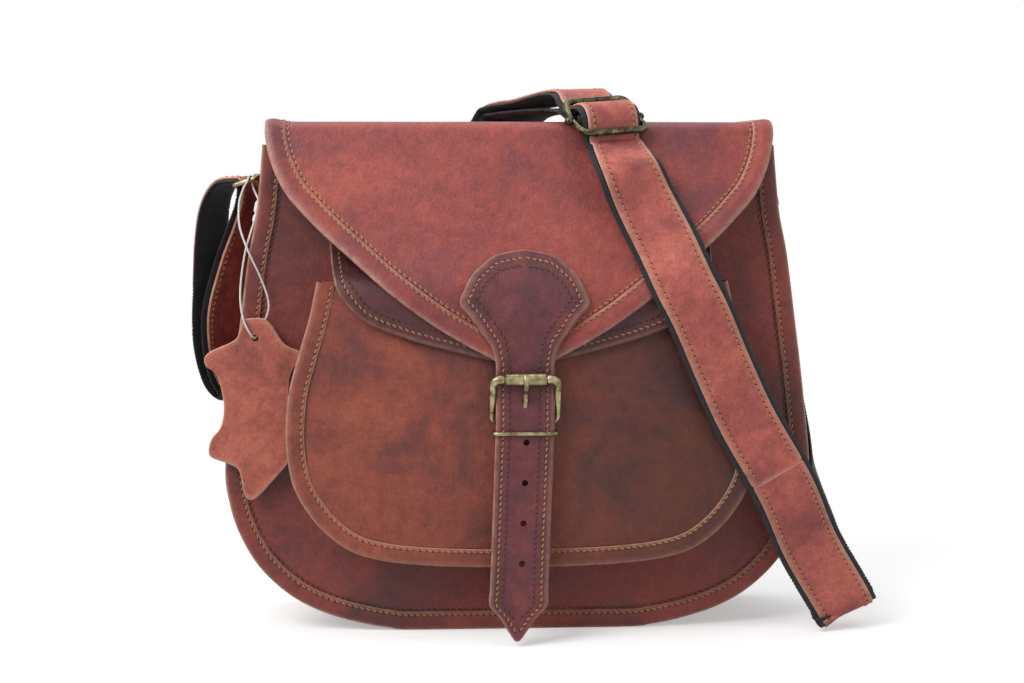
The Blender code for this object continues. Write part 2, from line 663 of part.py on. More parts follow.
def pocket_front():
    """Front of the pocket: flat round its edge, bulging forward inside it."""
    outline = pocket_outline()
    rim = np.concatenate([outline, np.linspace(outline[-1], outline[0], 12)[1:-1]])
    way = unit(np.roll(rim, -1, axis=0) - np.roll(rim, 1, axis=0))
    flat = rim + np.stack([-way[:, 1], way[:, 0]], axis=1) * (BORDER_WIDTH + GAP)
    middle = flat.mean(axis=0)
    shares = (0.35, 0.65, 0.88, 1.0)
    outer = [
        (middle + (flat - middle) * s, POCKET_RIM + POCKET_BULGE * (1 - s**BULGE_POWER)) for s in shares
    ]
    outer.append((rim, POCKET_RIM))
    inner = [(ring, depth - POCKET_LEATHER) for ring, depth in reversed(outer)]
    return loft("pocket_front", [at_depth(ring, -depth) for ring, depth in outer + inner], DARK_LEATHER)


def pocket_gusset():
    front = -(POCKET_RIM - POCKET_LEATHER - GAP)
    back = -(HALF_DEPTH - BINDING)
    wall = POCKET_INSET
    corners = [
        (0, front), (wall + FLANGE, front), (wall + FLANGE, back - FLANGE),
        (wall + POCKET_FLANGE, back - FLANGE),
        (wall + POCKET_FLANGE, back), (wall, back), (wall, front + FLANGE), (0, front + FLANGE),
    ]
    return along_outline("pocket_gusset", pocket_outline(), lambda _: corners, LEATHER)


def pocket_border():
    low, high = -POCKET_FACE, BORDER - POCKET_FACE
    corners = [(0, low), (BORDER_WIDTH, low), (BORDER_WIDTH, high), (0, high)]
    return along_outline("pocket_border", pocket_outline(), lambda _: corners, LEATHER)


def pocket_flap_profile():
    start = HALF_DEPTH - BINDING + POCKET_FLAP / 2
    face = POCKET_FLAP_BACK + POCKET_FLAP / 2
    points = [
        (-start, POCKET_FLAP_SEAM), (-start, POCKET_FLAP_START),
        (-face, POCKET_FLAP_KNEE), (-face, POCKET_FLAP_TIP),
    ]
    return Profile(rounded(points, (POCKET_FLAP_BEND, POCKET_FLAP_RADIUS)))


def pocket_flap():
    profile = pocket_flap_profile()
    rise = POCKET_FLAP_SEAM - POCKET_FLAP_TIP
    outline = both_sides(POCKET_FLAP_EDGE_SHARES, POCKET_FLAP_HALF_WIDTH, rise, POCKET_FLAP_TIP)
    edge = smooth_path(outline, 21)
    bend = profile.along[5]
    hinge = (0, *profile.points[0])
    return hanging_sheet("pocket_flap", profile, edge, POCKET_FLAP, bend, 7, DARK_LEATHER, hinge)


# Main flap

def flap_profile():
    """Middle of the flap's leather, from the fold at the back, over the top and down the front."""
    fold = HALF_DEPTH - BINDING - GAP - PANEL / 2
    top = FLAP_TOP - FLAP / 2
    face = FLAP_BACK + FLAP / 2
    points = [
        (fold, PANEL_TOP + GAP + FLAP / 2), (fold, top), (-FLAP_FRONT, top),
        (-face, FLAP_KNEE), (-face, FLAP_TIP),
    ]
    return Profile(rounded(points, (FLAP_FOLD_RADIUS, FLAP_CORNER_RADIUS, FLAP_KNEE_RADIUS)))


def flap_edge():
    rise = FLAP_CORNER - FLAP_TIP
    return smooth_path(both_sides(FLAP_EDGE_SHARES, FLAP_HALF_WIDTH, rise, FLAP_TIP), 37)


def main_flap():
    profile = flap_profile()
    bend = profile.along[10]
    hinge = (0, *profile.points[0])
    return hanging_sheet("main_flap", profile, flap_edge(), FLAP, bend, 13, LEATHER, hinge)


def flap_border():
    profile = flap_profile()
    edge = np.array([(x, profile.reach(z)) for x, z in flap_edge()])
    bends = [length for length in profile.along[:11] if length > FLAP_SEAM]
    left = np.array([(-FLAP_HALF_WIDTH, length) for length in (FLAP_SEAM, *bends)])
    route = np.concatenate([left, edge, left[::-1] * (-1, 1)])
    low = FLAP / 2 + GAP
    hinge = (0, *profile.points[0])
    return edge_strip("flap_border", profile, route, BORDER_WIDTH, low, low + BORDER, LEATHER, hinge)


# Closure strap and buckle

def closure_line():
    """Middle of the closure strap in the YZ plane, from the top of the fan patch to the billet's tip."""
    profile = flap_profile()
    tall = FAN_TOP - FAN_BOTTOM
    flat = FLAP / 2 + GAP + STRAP / 2
    raised = flat + BORDER + GAP
    points = []
    for share in FAN_STATION_SHARES:
        lift = flat if share < BORDER_START_SHARE else raised
        points.append(profile.at(profile.reach(FAN_TOP - share * tall), lift))
    neck = STRAP_BACK + STRAP / 2
    behind = (neck + HEEL_STRAP) / 2
    points += [
        (-neck, ROLLER_HEIGHT), (-behind, (ROLLER_HEIGHT + HEEL_HEIGHT) / 2), (-HEEL_STRAP, HEEL_HEIGHT),
        (-HEEL_STRAP, HEEL_HEIGHT - 2 * KEEPER_DROP), (-behind, CHAPE_BOTTOM), (-neck, BILLET_END),
    ]
    return np.array(points)


def closure_row(line, height):
    """Middle point of the closure strap at this height. The billet leans a little to the left."""
    y = np.interp(-height, -line[:, 1], line[:, 0])
    lean = BILLET_LEAN * max(0.0, (HEEL_HEIGHT - height) / (HEEL_HEIGHT - BILLET_END))
    return (-lean, y, height)


def closure_strap():
    line = smooth_path(closure_line(), 60)
    tall = FAN_TOP - FAN_BOTTOM
    rows = [(FAN_TOP - share * tall, FAN_HALF_WIDTH * wide) for share, wide in FAN_SHARES]
    straight = np.linspace(FAN_BOTTOM, BILLET_END + BILLET_POINT, 16)[1:]
    rows += [(z, BILLET_HALF_WIDTH) for z in straight]
    for share, wide in POINT_SHARES:
        rows.append((BILLET_END + BILLET_POINT * (1 - share), BILLET_HALF_WIDTH * wide))
    centres = [closure_row(line, z) for z, _ in rows]
    widths = [wide for _, wide in rows]
    hinge = (0, *flap_profile().points[0])
    strap = ribbon("closure_strap", centres, (1, 0, 0), widths, STRAP, DARK_LEATHER, pivot=hinge)
    rows = [(z, BILLET_HALF_WIDTH - GAP) for z in np.linspace(BACKING_TOP, BACKING_END + BILLET_POINT, 14)]
    rows.append((BACKING_END, BILLET_HALF_WIDTH * BACKING_POINT_SHARE))
    centres = [closure_row(line, z) for z, _ in rows]
    under = -(STRAP + STRAP_BACKING) / 2 - GAP
    widths = [wide for _, wide in rows]
    name = "closure_strap_backing"
    backing = ribbon(name, centres, (1, 0, 0), widths, STRAP_BACKING, LEATHER, under, hinge)
    heights = [PRONG_HOLE - HOLE_PITCH * (k + 1) for k in range(HOLE_COUNT)]
    places = [np.array(closure_row(line, z)) + (HOLE_OFFSET, 0, 0) for z in heights]
    deep = STRAP + STRAP_BACKING + CHAPE
    cut(strap, cylinders("holes_cutter", places, HOLE_RADIUS, deep))
    cut(backing, cylinders("backing_holes_cutter", places, HOLE_RADIUS, deep))
    return strap, backing


def arc(centre, radius, start, end, steps):
    """Points of a plane arc, its angles in degrees."""
    angles = np.radians(np.linspace(start, end, steps))
    return [(centre[0] + radius * math.cos(a), centre[1] + radius * math.sin(a)) for a in angles]


def in_plane(points, origin, first, second):
    """Plane points laid out in space along two directions."""
    points = np.array(points, float)
    return np.array(origin) + points[:, :1] * np.array(first) + points[:, 1:] * np.array(second)


def bar(name, centres, half_widths, half_thicks, look, pivot):
    """A rounded bar along a path in a YZ plane, with its own width along X and thickness across."""
    centres = np.array(centres, float)
    way = tangents(centres)
    across = np.broadcast_to((1.0, 0.0, 0.0), centres.shape)
    facing = unit(np.cross(way, across))
    wide = np.broadcast_to(np.array(half_widths, float), len(centres))[:, None]
    thick = np.broadcast_to(np.array(half_thicks, float), len(centres))[:, None]
    angles = [2 * math.pi * (k + 0.5) / 8 for k in range(8)]
    rings = [centres + across * wide * math.cos(a) + facing * thick * math.sin(a) for a in angles]
    return loft(name, np.stack(rings, axis=1), look, pivot)


HEEL = np.array((0.0, -HEEL_DEPTH, HEEL_HEIGHT))
ROLLER = np.array((0.0, -ROLLER_DEPTH, ROLLER_HEIGHT))


def chape():
    """Leather loop round the heel bar, sewn on the pocket below it, slotted for the prong."""
    loop = HEEL_RADIUS + GAP + CHAPE / 2
    back = HEEL_DEPTH - loop
    sewn = back + CHAPE + GAP
    low = HEEL_HEIGHT - KEEPER_DROP - 3 * KEEPER_RADIUS
    turn = arc((HEEL_DEPTH, HEEL_HEIGHT), loop, 180, 0, 9)
    line = [(back, CHAPE_BOTTOM), (back, low), *turn, (HEEL_DEPTH + loop, low)]
    line += [(sewn, low - 4 * CHAPE), (sewn, CHAPE_BOTTOM)]
    centres = [(0, -depth, z) for depth, z in line]
    made = ribbon("buckle_chape", centres, (1, 0, 0), CHAPE_HALF_WIDTH, CHAPE, LEATHER)
    reach = HEEL_RADIUS + 2 * GAP + PRONG_RING
    half = PRONG_SLOT / 2
    slot = [(-half, -reach), (half, -reach), (half, 2 * loop), (-half, 2 * loop)]
    ends = [in_plane(slot, HEEL + (0, y, 0), (1, 0, 0), (0, 0, 1)) for y in (-2 * loop, 2 * loop)]
    return cut(made, loft("chape_cutter", ends, CLOTH))


def buckle_frame():
    """Rectangular frame: heel bar below, heavier corners above, and the thin bar inside the roller."""
    rise = ROLLER - HEEL
    length = np.linalg.norm(rise)
    wide, bend = FRAME_HALF_WIDTH, FRAME_BEND
    shoulder = ROLLER_LENGTH / 2 + GAP
    right = [((x, v), FRAME_SIDE_RADIUS) for x, v in arc((wide - bend, bend), bend, -90, 0, 5)]
    top = arc((wide - bend, length - bend), bend, 0, 90, 5)
    right += [((x, v), FRAME_CORNER_RADIUS) for x, v in top]
    right += [((shoulder + GAP, length), FRAME_CORNER_RADIUS), ((shoulder, length), END_BAR_RADIUS)]
    left = [((-x, v), radius) for (x, v), radius in reversed(right)]
    rows = [((0, 0), HEEL_RADIUS), ((shoulder, 0), HEEL_RADIUS), *right, *left, ((-shoulder, 0), HEEL_RADIUS)]
    centres = in_plane([place for place, _ in rows], HEEL, (1, 0, 0), rise / length)
    normal = np.cross((1, 0, 0), rise)
    radii = [radius for _, radius in rows]
    return tube("buckle_frame", centres, radii, normal, METAL, closed=True, pivot=HEEL)


def buckle_roller():
    sides = 16
    rings = []
    for k in range(sides):
        a = 2 * math.pi * k / sides
        facing = np.array((0, math.cos(a), math.sin(a)))
        half = np.array((ROLLER_LENGTH / 2, 0, 0))
        bore, face = facing * ROLLER_BORE, facing * ROLLER_RADIUS
        rings.append([ROLLER + point for point in (bore - half, face - half, face + half, bore + half)])
    return loft("buckle_roller", rings, METAL, ROLLER, closed=True)


def prong_line():
    """Middle of the prong: most of a turn round the heel bar, then out through the billet to the roller."""
    ring = HEEL_RADIUS + GAP + PRONG_RING / 2
    turn = [(-y, z) for y, z in arc((HEEL_DEPTH, HEEL_HEIGHT), ring, 75, 350, 12)]
    front = ROLLER_DEPTH + ROLLER_RADIUS + GAP + PRONG_RADIUS
    shank = [
        (-HEEL_DEPTH - (front - HEEL_DEPTH) * forward, HEEL_HEIGHT + (ROLLER_HEIGHT - HEEL_HEIGHT) * up)
        for forward, up in PRONG_SHARES
    ]
    return turn, shank


def buckle_prong():
    turn, shank = prong_line()
    line = [(0, y, z) for y, z in turn + shank]
    thick = [PRONG_RING / 2] * len(turn) + [PRONG_RADIUS] * (len(shank) - 1) + [PRONG_RADIUS / 2]
    return bar("buckle_prong", line, PRONG_RADIUS, thick, METAL, HEEL)


def prong_cutter(name):
    """The prong's own way through the billet, a little wider than the prong."""
    turn, shank = prong_line()
    line = [(0, y, z) for y, z in [turn[-1], *shank[:4]]]
    return bar(name, line, PRONG_RADIUS + GAP, PRONG_RADIUS + 2 * GAP, CLOTH, HEEL)


def strap_keeper():
    front = HEEL_STRAP + STRAP / 2 + GAP + KEEPER_RADIUS
    wide, bend = KEEPER_HALF_WIDTH, 2 * KEEPER_RADIUS
    corners = arc((wide - bend, -HEEL_DEPTH - bend), bend, 90, 0, 4)
    corners += arc((wide - bend, -front + bend), bend, 0, -90, 4)
    loop = corners + [(-x, y) for x, y in reversed(corners)]
    height = HEEL_HEIGHT - KEEPER_DROP
    centres = in_plane(loop, (0, 0, height), (1, 0, 0), (0, 1, 0))
    return tube("strap_keeper", centres, KEEPER_RADIUS, (0, 0, 1), METAL, 8, True, (0, -HEEL_DEPTH, height))


# Side rings and tabs

def wall_at(height):
    """How far the gusset's wall stands from the middle plane at this height."""
    outline = lip_outline()
    right = outline[len(outline) // 2:]
    return np.interp(height, right[:, 1], right[:, 0]) - GUSSET_INSET


def ring_frame(side):
    """Middle of the ring's inner and outer bars, the bars' direction and the way out from the body."""
    yaw, tilt = RING_YAWS[side], RING_TILTS[side]
    bar_way = np.array((-side * math.sin(yaw), math.cos(yaw), 0))
    out = np.array((side * math.cos(yaw), math.sin(yaw), 0))
    inner = np.array((side * (wall_at(RING_HEIGHT) + RING_STANDS[side]), RING_MIDDLE, RING_HEIGHT))
    outer = inner + RING_LENGTH * (out * math.cos(tilt) - np.array((0, 0, math.sin(tilt))))
    return inner, outer, bar_way, out


def side_ring(name, side):
    inner, outer, bar_way, _ = ring_frame(side)
    wide, bend = WEBBING_HALF_WIDTH + RING_EASE + RING_RADIUS, RING_BEND
    corners = arc((wide - bend, bend), bend, -90, 0, 4)
    corners += arc((wide - bend, RING_LENGTH - bend), bend, 0, 90, 4)
    loop = corners + [(-x, v) for x, v in reversed(corners)]
    away = (outer - inner) / RING_LENGTH
    centres = in_plane(loop, inner, bar_way, away)
    return tube(name, centres, RING_RADIUS, np.cross(bar_way, away), METAL, 8, True, inner)


def ring_tab(name, side):
    """Leather tab sewn flat on the gusset, looped over the ring's inner bar."""
    inner, _, bar_way, out = ring_frame(side)
    level = np.array((0, 1, 0))
    loop = RING_RADIUS + GAP + TAB / 2

    def on_wall(drop, stand):
        height = RING_HEIGHT - drop
        return np.array((side * (wall_at(height) + GAP + TAB / 2 + stand), RING_MIDDLE, height))

    rows = [(on_wall(TAB_DROP, 0), level), (on_wall(TAB_DROP / 2, 0), level)]
    rows.append((on_wall(TAB_DROP / 5, TAB), bar_way + level))
    for a in np.radians((180, 135, 90, 45, 0)):
        rows.append((inner + loop * (out * math.cos(a) + np.array((0, 0, math.sin(a)))), bar_way))
    back = max(TAB_RETURN_SHARE * RING_STANDS[side], TAB + 2 * GAP)
    rows += [(on_wall(TAB_DROP / 4, back), bar_way + level), (on_wall(TAB_DROP / 2, TAB + GAP), level)]
    rows.append((on_wall(TAB_DROP, TAB + GAP), level))
    across = unit(np.array([way for _, way in rows], float))
    return ribbon(name, [place for place, _ in rows], across, TAB_HALF_WIDTH, TAB, LEATHER)


# Shoulder strap

def strap_rows(shares):
    """Rows (x, y, z, width direction) from a table of shares."""
    rows = []
    for x, y, z, *across in shares:
        if y < -1:
            depth = -HALF_DEPTH + (y + 1) * (FLAP_FACE - HALF_DEPTH)
        else:
            depth = y * HALF_DEPTH
        rows.append((x * HALF_WIDTH, depth, z * HEIGHT, *across))
    return rows


def over_bar(centre, out, across, start, end):
    """Rows of the webbing bent round a bar, its angles in degrees from the way out."""
    loop = RING_RADIUS + GAP + WEBBING_THICKNESS / 2
    rows = []
    for a in np.radians(np.linspace(start, end, 5)):
        place = centre + loop * (out * math.cos(a) + np.array((0, 0, math.sin(a))))
        rows.append((*place, *across))
    return rows


def slider_axes():
    """Middle of the slider's bar, the way down the strap, across it, and out of it."""
    x, y, z = SLIDER_PLACE_SHARES
    place = np.array((x * HALF_WIDTH, y * HALF_DEPTH, z * HEIGHT))
    down = unit(np.array(SLIDER_WAY))
    across = np.array(SLIDER_ACROSS)
    across = unit(across - down * (across @ down))
    return place, down, across, np.cross(down, across)


def strap_under_bar():
    """How far out of the slider's plane the webbing lies where it passes under an outer bar."""
    return SLIDER_ARCH - SLIDER_RADIUS - 8 * GAP - STRAP_LEATHER - WEBBING_THICKNESS / 2


def through_slider():
    """Rows of the webbing up through the slider: under its outer bars and over the middle one."""
    place, down, across, out = slider_axes()
    middle = SLIDER_RADIUS + 3 * GAP + 1.5 * WEBBING_THICKNESS
    under = strap_under_bar()
    rows = []
    for share in THROUGH_SLIDER_SHARES:
        lift = middle if abs(share) < 1 else under
        rows.append((*(place + down * share * SLIDER_HALF_LENGTH + out * lift), *across))
    return rows


def slider_end():
    """Rows of the webbing's sewn end, round the slider's middle bar."""
    place, down, across, out = slider_axes()
    loop = SLIDER_RADIUS + GAP + WEBBING_THICKNESS / 2
    below = strap_under_bar() - WEBBING_THICKNESS - 5 * GAP
    rows = []
    for share, lift in zip(SLIDER_END_SHARES, (below, -2 * loop)):
        rows.append((*(place - down * share * SLIDER_HALF_LENGTH + out * lift), *across))
    for a in np.radians(np.linspace(-90, 90, 6)):
        rows.append((*(place + loop * (down * math.cos(a) + out * math.sin(a))), *across))
    return rows


def strap_route():
    """Places and width directions of the webbing, and the row numbers where its leather starts and ends."""
    _, right_bar, right_way, right_out = ring_frame(1)
    _, left_bar, left_way, left_out = ring_frame(-1)
    loop = RING_RADIUS + GAP + WEBBING_THICKNESS / 2
    sewn = right_bar - right_out * loop
    parts = [
        [(*(sewn - (0, 0, TAB_DROP / 2)), *right_way)],
        over_bar(right_bar, right_out, right_way, 180, 0),
        strap_rows(RIGHT_SIDE_SHARES),
        strap_rows(FRONT_RUN_SHARES),
        through_slider(),
        strap_rows(OVER_TOP_SHARES),
        strap_rows(LEFT_FAR_SHARES),
        over_bar(left_bar, left_out, -left_way, 90, 180),
        strap_rows(LEFT_NEAR_SHARES),
        slider_end(),
    ]
    rows, marks = [], []
    for part in parts:
        marks.append(len(rows))
        rows += part
    return np.array(rows, float), marks


def strap_stations():
    """A smooth strap through the route's rows, with the place of each row among its stations."""
    rows, marks = strap_route()
    ends = [2 * rows[0] - rows[1], *rows, 2 * rows[-1] - rows[-2]]
    fine, starts = [], []
    for a, b, c, d in zip(ends, ends[1:], ends[2:], ends[3:]):
        starts.append(len(fine))
        count = max(1, round(float(np.linalg.norm((c - b)[:3])) / STRAP_STEP))
        for t in np.linspace(0, 1, count, endpoint=False):
            fine.append(between(a, b, c, d, t))
    starts.append(len(fine))
    fine.append(rows[-1])
    fine = np.array(fine)
    places, across = fine[:, :3], fine[:, 3:]
    way = tangents(places)
    across = unit(across - way * np.sum(across * way, axis=1, keepdims=True))
    return places, across, [starts[mark] for mark in marks]


def build_strap():
    places, across, marks = strap_stations()
    hinge = (0, *flap_profile().points[0])
    ribbon("strap_webbing", places, across, WEBBING_HALF_WIDTH, WEBBING_THICKNESS, WEBBING, pivot=hinge)
    lift = -(WEBBING_THICKNESS + STRAP_LEATHER) / 2 - GAP
    _, right, down_side, front, slider, top, far, left, near, _ = marks
    pieces = {
        "strap_leather_lower": (down_side + 1, front + 3),
        "strap_leather_front": (front + 4, top + 12),
        "strap_leather_left": (far + 6, near + 6),
    }
    for name, (first, last) in pieces.items():
        part = slice(first, last)
        wide = STRAP_LEATHER_HALF_WIDTH
        ribbon(name, places[part], across[part], wide, STRAP_LEATHER, TAN_LEATHER, lift, hinge)


def build_slider():
    place, down, across, out = slider_axes()
    wide = WEBBING_HALF_WIDTH + SLIDER_EASE + SLIDER_RADIUS
    bend = SLIDER_BEND
    half = arc((wide - bend, SLIDER_HALF_LENGTH - bend), bend, 0, 90, 5)
    corners = [(x, -v) for x, v in reversed(half)] + [(wide, 0)] + half
    loop = corners + [(-x, v) for x, v in reversed(corners)]
    centres = in_plane(loop, place, across, down)
    arch = [SLIDER_ARCH * abs(v) / SLIDER_HALF_LENGTH for _, v in loop]
    centres = centres + np.outer(arch, out)
    tube("slider_frame", centres, SLIDER_RADIUS, out, DARK_METAL, 8, True, place)
    reach = wide - SLIDER_RADIUS - GAP
    ends = [place - across * reach, place, place + across * reach]
    tube("slider_bar", ends, SLIDER_RADIUS, out, DARK_METAL, 8, False, place)


# Tag and string

def hang_tag():
    """Leather tag with a hole, hanging in front of the body's left side."""
    places = [(TAG_LEFT + TAG_WIDTH * x, TAG_BOTTOM + TAG_HEIGHT * z) for x, z in TAG_SHARES]
    outline = smooth_path(places + places[:1], 47)[:-1]
    across_share, up_share = TAG_HOLE_SHARES
    hole = (TAG_LEFT + TAG_WIDTH * across_share, -TAG_DEPTH, TAG_BOTTOM + TAG_HEIGHT * up_share)
    ends = [at_depth(outline, -TAG_DEPTH - TAG / 2), at_depth(outline, -TAG_DEPTH + TAG / 2)]
    tag = loft("hang_tag", ends, TAN_LEATHER, hole)
    return cut(tag, cylinders("tag_cutter", [hole], TAG_HOLE_RADIUS, 2 * TAG))


def tag_string():
    """White string: a curve with round bevel and filled ends."""
    route = smooth_path(STRING_ROUTE, 70) + (0, 0, RING_HEIGHT)
    curve = bpy.data.curves.new("tag_string", "CURVE")
    curve.dimensions = "3D"
    spline = curve.splines.new("POLY")
    spline.points.add(len(route) - 1)
    for point, place in zip(spline.points, route):
        point.co = (*(place - STRING_HINGE), 1.0)
    curve.bevel_depth = STRING_RADIUS
    curve.bevel_resolution = 2
    curve.use_fill_caps = True
    curve.materials.append(material("tag_string_look", *PLASTIC))
    obj = bpy.data.objects.new("tag_string", curve)
    obj.location = STRING_HINGE
    bpy.context.scene.collection.objects.link(obj)
    return obj


def tag_lock():
    """Moulded lock that holds the string's two ends."""
    low, high = (np.array(STRING_ROUTE[k]) + (0, 0, RING_HEIGHT) for k in (0, -1))
    way = unit(high - low)
    low, high = low + way * GAP, high - way * GAP
    centres = [low + (high - low) * share for share, _ in LOCK_SHARES]
    normal = np.cross(way, (1, 0, 0))
    radii = [LOCK_RADIUS * wide for _, wide in LOCK_SHARES]
    return tube("tag_lock", centres, radii, normal, PLASTIC, 8, pivot=STRING_HINGE)


def build_tag():
    hang_tag()
    tag_string()
    tag_lock()


def build_pocket():
    pocket_front()
    pocket_gusset()
    pocket_border()
    pocket_flap()


def build_flap():
    main_flap()
    flap_border()
    strap, backing = closure_strap()
    cut(strap, prong_cutter("prong_way_cutter"))
    cut(backing, prong_cutter("backing_prong_way_cutter"))


def build_buckle():
    chape()
    buckle_frame()
    buckle_roller()
    buckle_prong()
    strap_keeper()


def build_sides():
    for name, side in (("left_ring", -1), ("right_ring", 1)):
        side_ring(name, side)
        ring_tab(name + "_tab", side)


def build_body():
    binding("front_edge_binding", -1)
    binding("back_edge_binding", 1)
    panel("front_panel", -1, HEIGHT)
    panel("back_panel", 1, PANEL_TOP)
    side_gusset()
    main_lining()


clear_scene()
build_body()
build_pocket()
build_flap()
build_buckle()
build_sides()
build_strap()
build_slider()
build_tag()
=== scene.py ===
"""Look of a crossbody leather satchel: waxed hide, sewn seams, antique brass and a ribbed webbing strap."""

import math

import bmesh
import bpy
import numpy as np
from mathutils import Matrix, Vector, noise


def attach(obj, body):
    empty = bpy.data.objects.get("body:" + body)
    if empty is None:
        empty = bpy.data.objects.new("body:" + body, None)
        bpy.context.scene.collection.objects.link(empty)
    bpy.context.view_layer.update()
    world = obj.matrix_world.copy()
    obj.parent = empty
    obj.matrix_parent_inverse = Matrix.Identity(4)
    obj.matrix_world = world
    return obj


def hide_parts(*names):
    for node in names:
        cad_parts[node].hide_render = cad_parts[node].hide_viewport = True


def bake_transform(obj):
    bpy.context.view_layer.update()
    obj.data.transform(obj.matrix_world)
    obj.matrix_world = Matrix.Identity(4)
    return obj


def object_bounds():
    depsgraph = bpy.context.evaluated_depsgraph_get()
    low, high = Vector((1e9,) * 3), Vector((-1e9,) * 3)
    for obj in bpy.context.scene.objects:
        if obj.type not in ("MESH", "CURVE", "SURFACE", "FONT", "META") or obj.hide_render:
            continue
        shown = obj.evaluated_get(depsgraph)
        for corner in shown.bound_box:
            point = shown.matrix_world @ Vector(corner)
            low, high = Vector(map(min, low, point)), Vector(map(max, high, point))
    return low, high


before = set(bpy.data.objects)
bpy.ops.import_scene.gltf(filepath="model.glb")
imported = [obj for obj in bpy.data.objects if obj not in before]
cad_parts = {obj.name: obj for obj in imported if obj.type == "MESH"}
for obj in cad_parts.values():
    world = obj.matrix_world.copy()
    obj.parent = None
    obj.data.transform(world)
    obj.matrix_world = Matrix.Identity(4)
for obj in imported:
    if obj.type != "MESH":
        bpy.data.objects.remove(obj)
cad_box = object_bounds()

# Camera and stage. The satchel was photographed from just left of its front and a little above, on a
# white sweep under large soft lights.

def add(name, data):
    """A new object in the scene, made of this mesh, curve, light or camera."""
    made = bpy.data.objects.new(name, data)
    bpy.context.scene.collection.objects.link(made)
    return made


camera = add("camera", bpy.data.cameras.new("camera"))
camera.location = (-0.06163, -0.98212, 0.22168)
camera.rotation_euler = (math.radians(85), 0, math.radians(-3.5))
camera.data.sensor_width = 36
camera.data.lens = 70.3125
bpy.context.scene.camera = camera
bpy.context.scene.view_settings.view_transform = "Standard"


def colour(text):
    """A colour written as sRGB hex, as the linear values that the shaders take."""
    parts = [int(text[i:i + 2], 16) / 255 for i in (1, 3, 5)]
    return (*[((v + 0.055) / 1.055) ** 2.4 if v > 0.04045 else v / 12.92 for v in parts], 1.0)


def node(tree, kind, settings=(), **inputs):
    """Adds a node, sets its properties, and gives each input, by name or i0, i1..., a value or a link."""
    made = tree.nodes.new(kind)
    for key, value in dict(settings).items():
        setattr(made, key, value)
    for key, value in inputs.items():
        number = key[0] == "i" and key[1:].isdigit()
        socket = made.inputs[int(key[1:]) if number else key.replace("_", " ")]
        if isinstance(value, bpy.types.NodeSocket):
            tree.links.new(value, socket)
        else:
            socket.default_value = value
    return made


def blank(name):
    """A material with an empty node tree, and the tree."""
    made = bpy.data.materials.new(name)
    made.use_nodes = True
    made.node_tree.nodes.clear()
    return made, made.node_tree


def white_rays(tree):
    """1 for the rays that show the white background: the camera's, and those off metal or through glass."""
    rays = node(tree, "ShaderNodeLightPath").outputs
    direct = node(tree, "ShaderNodeMath", {"operation": "MAXIMUM"}, i0=rays["Is Camera Ray"],
                  i1=rays["Is Glossy Ray"])
    return node(tree, "ShaderNodeMath", {"operation": "MAXIMUM"}, i0=direct.outputs[0],
                i1=rays["Is Transmission Ray"]).outputs[0]


FLOOR_SIZE = 8.0
LIGHTS = [
    ("key", (-1.1, -1.1, 1.35), 1.0, 25.0),
    ("fill", (1.3, -1.2, 0.7), 1.5, 3.0),
    ("top", (-0.2, 0.2, 1.6), 1.2, 9.0),
]

world = bpy.data.worlds.new("world")
world.use_nodes = True
world.node_tree.nodes.clear()
around = node(world.node_tree, "ShaderNodeBackground", Color=(1, 1, 1, 1), Strength=0.36)
behind = node(world.node_tree, "ShaderNodeBackground", Color=(1, 1, 1, 1), Strength=1.0)
seen = node(world.node_tree, "ShaderNodeMixShader", i0=white_rays(world.node_tree), i1=around.outputs[0],
            i2=behind.outputs[0])
node(world.node_tree, "ShaderNodeOutputWorld", Surface=seen.outputs[0])
bpy.context.scene.world = world

# The sweep's paper takes the shadow round the satchel, and runs out into the white behind it.
paper, tree = blank("white_paper")
coords = node(tree, "ShaderNodeTexCoord").outputs["Object"]
away = node(tree, "ShaderNodeVectorMath", {"operation": "LENGTH"}, i0=coords)
shadow_fade = node(tree, "ShaderNodeMapRange", {"interpolation_type": "SMOOTHSTEP"}, Value=away.outputs["Value"],
            From_Min=0.20, From_Max=0.50)
matte = node(tree, "ShaderNodeBsdfDiffuse", Color=colour("#F4F4F4"))
glow = node(tree, "ShaderNodeEmission", Color=(1, 1, 1, 1), Strength=0.38)
both = node(tree, "ShaderNodeAddShader", i0=matte.outputs[0], i1=glow.outputs[0])
white = node(tree, "ShaderNodeEmission", Color=(1, 1, 1, 1), Strength=1.0)
sweep = node(tree, "ShaderNodeMixShader", i0=shadow_fade.outputs[0], i1=both.outputs[0], i2=white.outputs[0])
dull = node(tree, "ShaderNodeBsdfDiffuse", Color=colour("#A9A9A9"))
shown = node(tree, "ShaderNodeMixShader", i0=white_rays(tree), i1=dull.outputs[0], i2=sweep.outputs[0])
node(tree, "ShaderNodeOutputMaterial", Surface=shown.outputs[0])

mesh = bpy.data.meshes.new("floor")
half = FLOOR_SIZE / 2
mesh.from_pydata([(-half, -half, 0), (half, -half, 0), (half, half, 0), (-half, half, 0)], [], [(0, 1, 2, 3)])
mesh.materials.append(paper)
floor = add("floor", mesh)

for name, place, size, power in LIGHTS:
    light = add(name, bpy.data.lights.new(name, "AREA"))
    light.data.size = size
    light.data.energy = power
    light.location = place
    light.rotation_euler = (Vector((0, 0, 0.12)) - Vector(place)).to_track_quat("-Z", "Y").to_euler()


# String of the hang tag. A thin white cord runs from its moulded lock through the tag's hole, up over the
# left ring and back into the lock. It is twisted cotton with a matt finish, and the lock is moulded nylon.

def unit(vectors):
    return vectors / np.linalg.norm(vectors, axis=-1, keepdims=True)


def tangents(points):
    return unit(np.gradient(points, axis=0))


def run_of(points):
    """Length along a path up to each of its points."""
    return np.concatenate([[0.0], np.cumsum(np.linalg.norm(np.diff(points, axis=0), axis=1))])


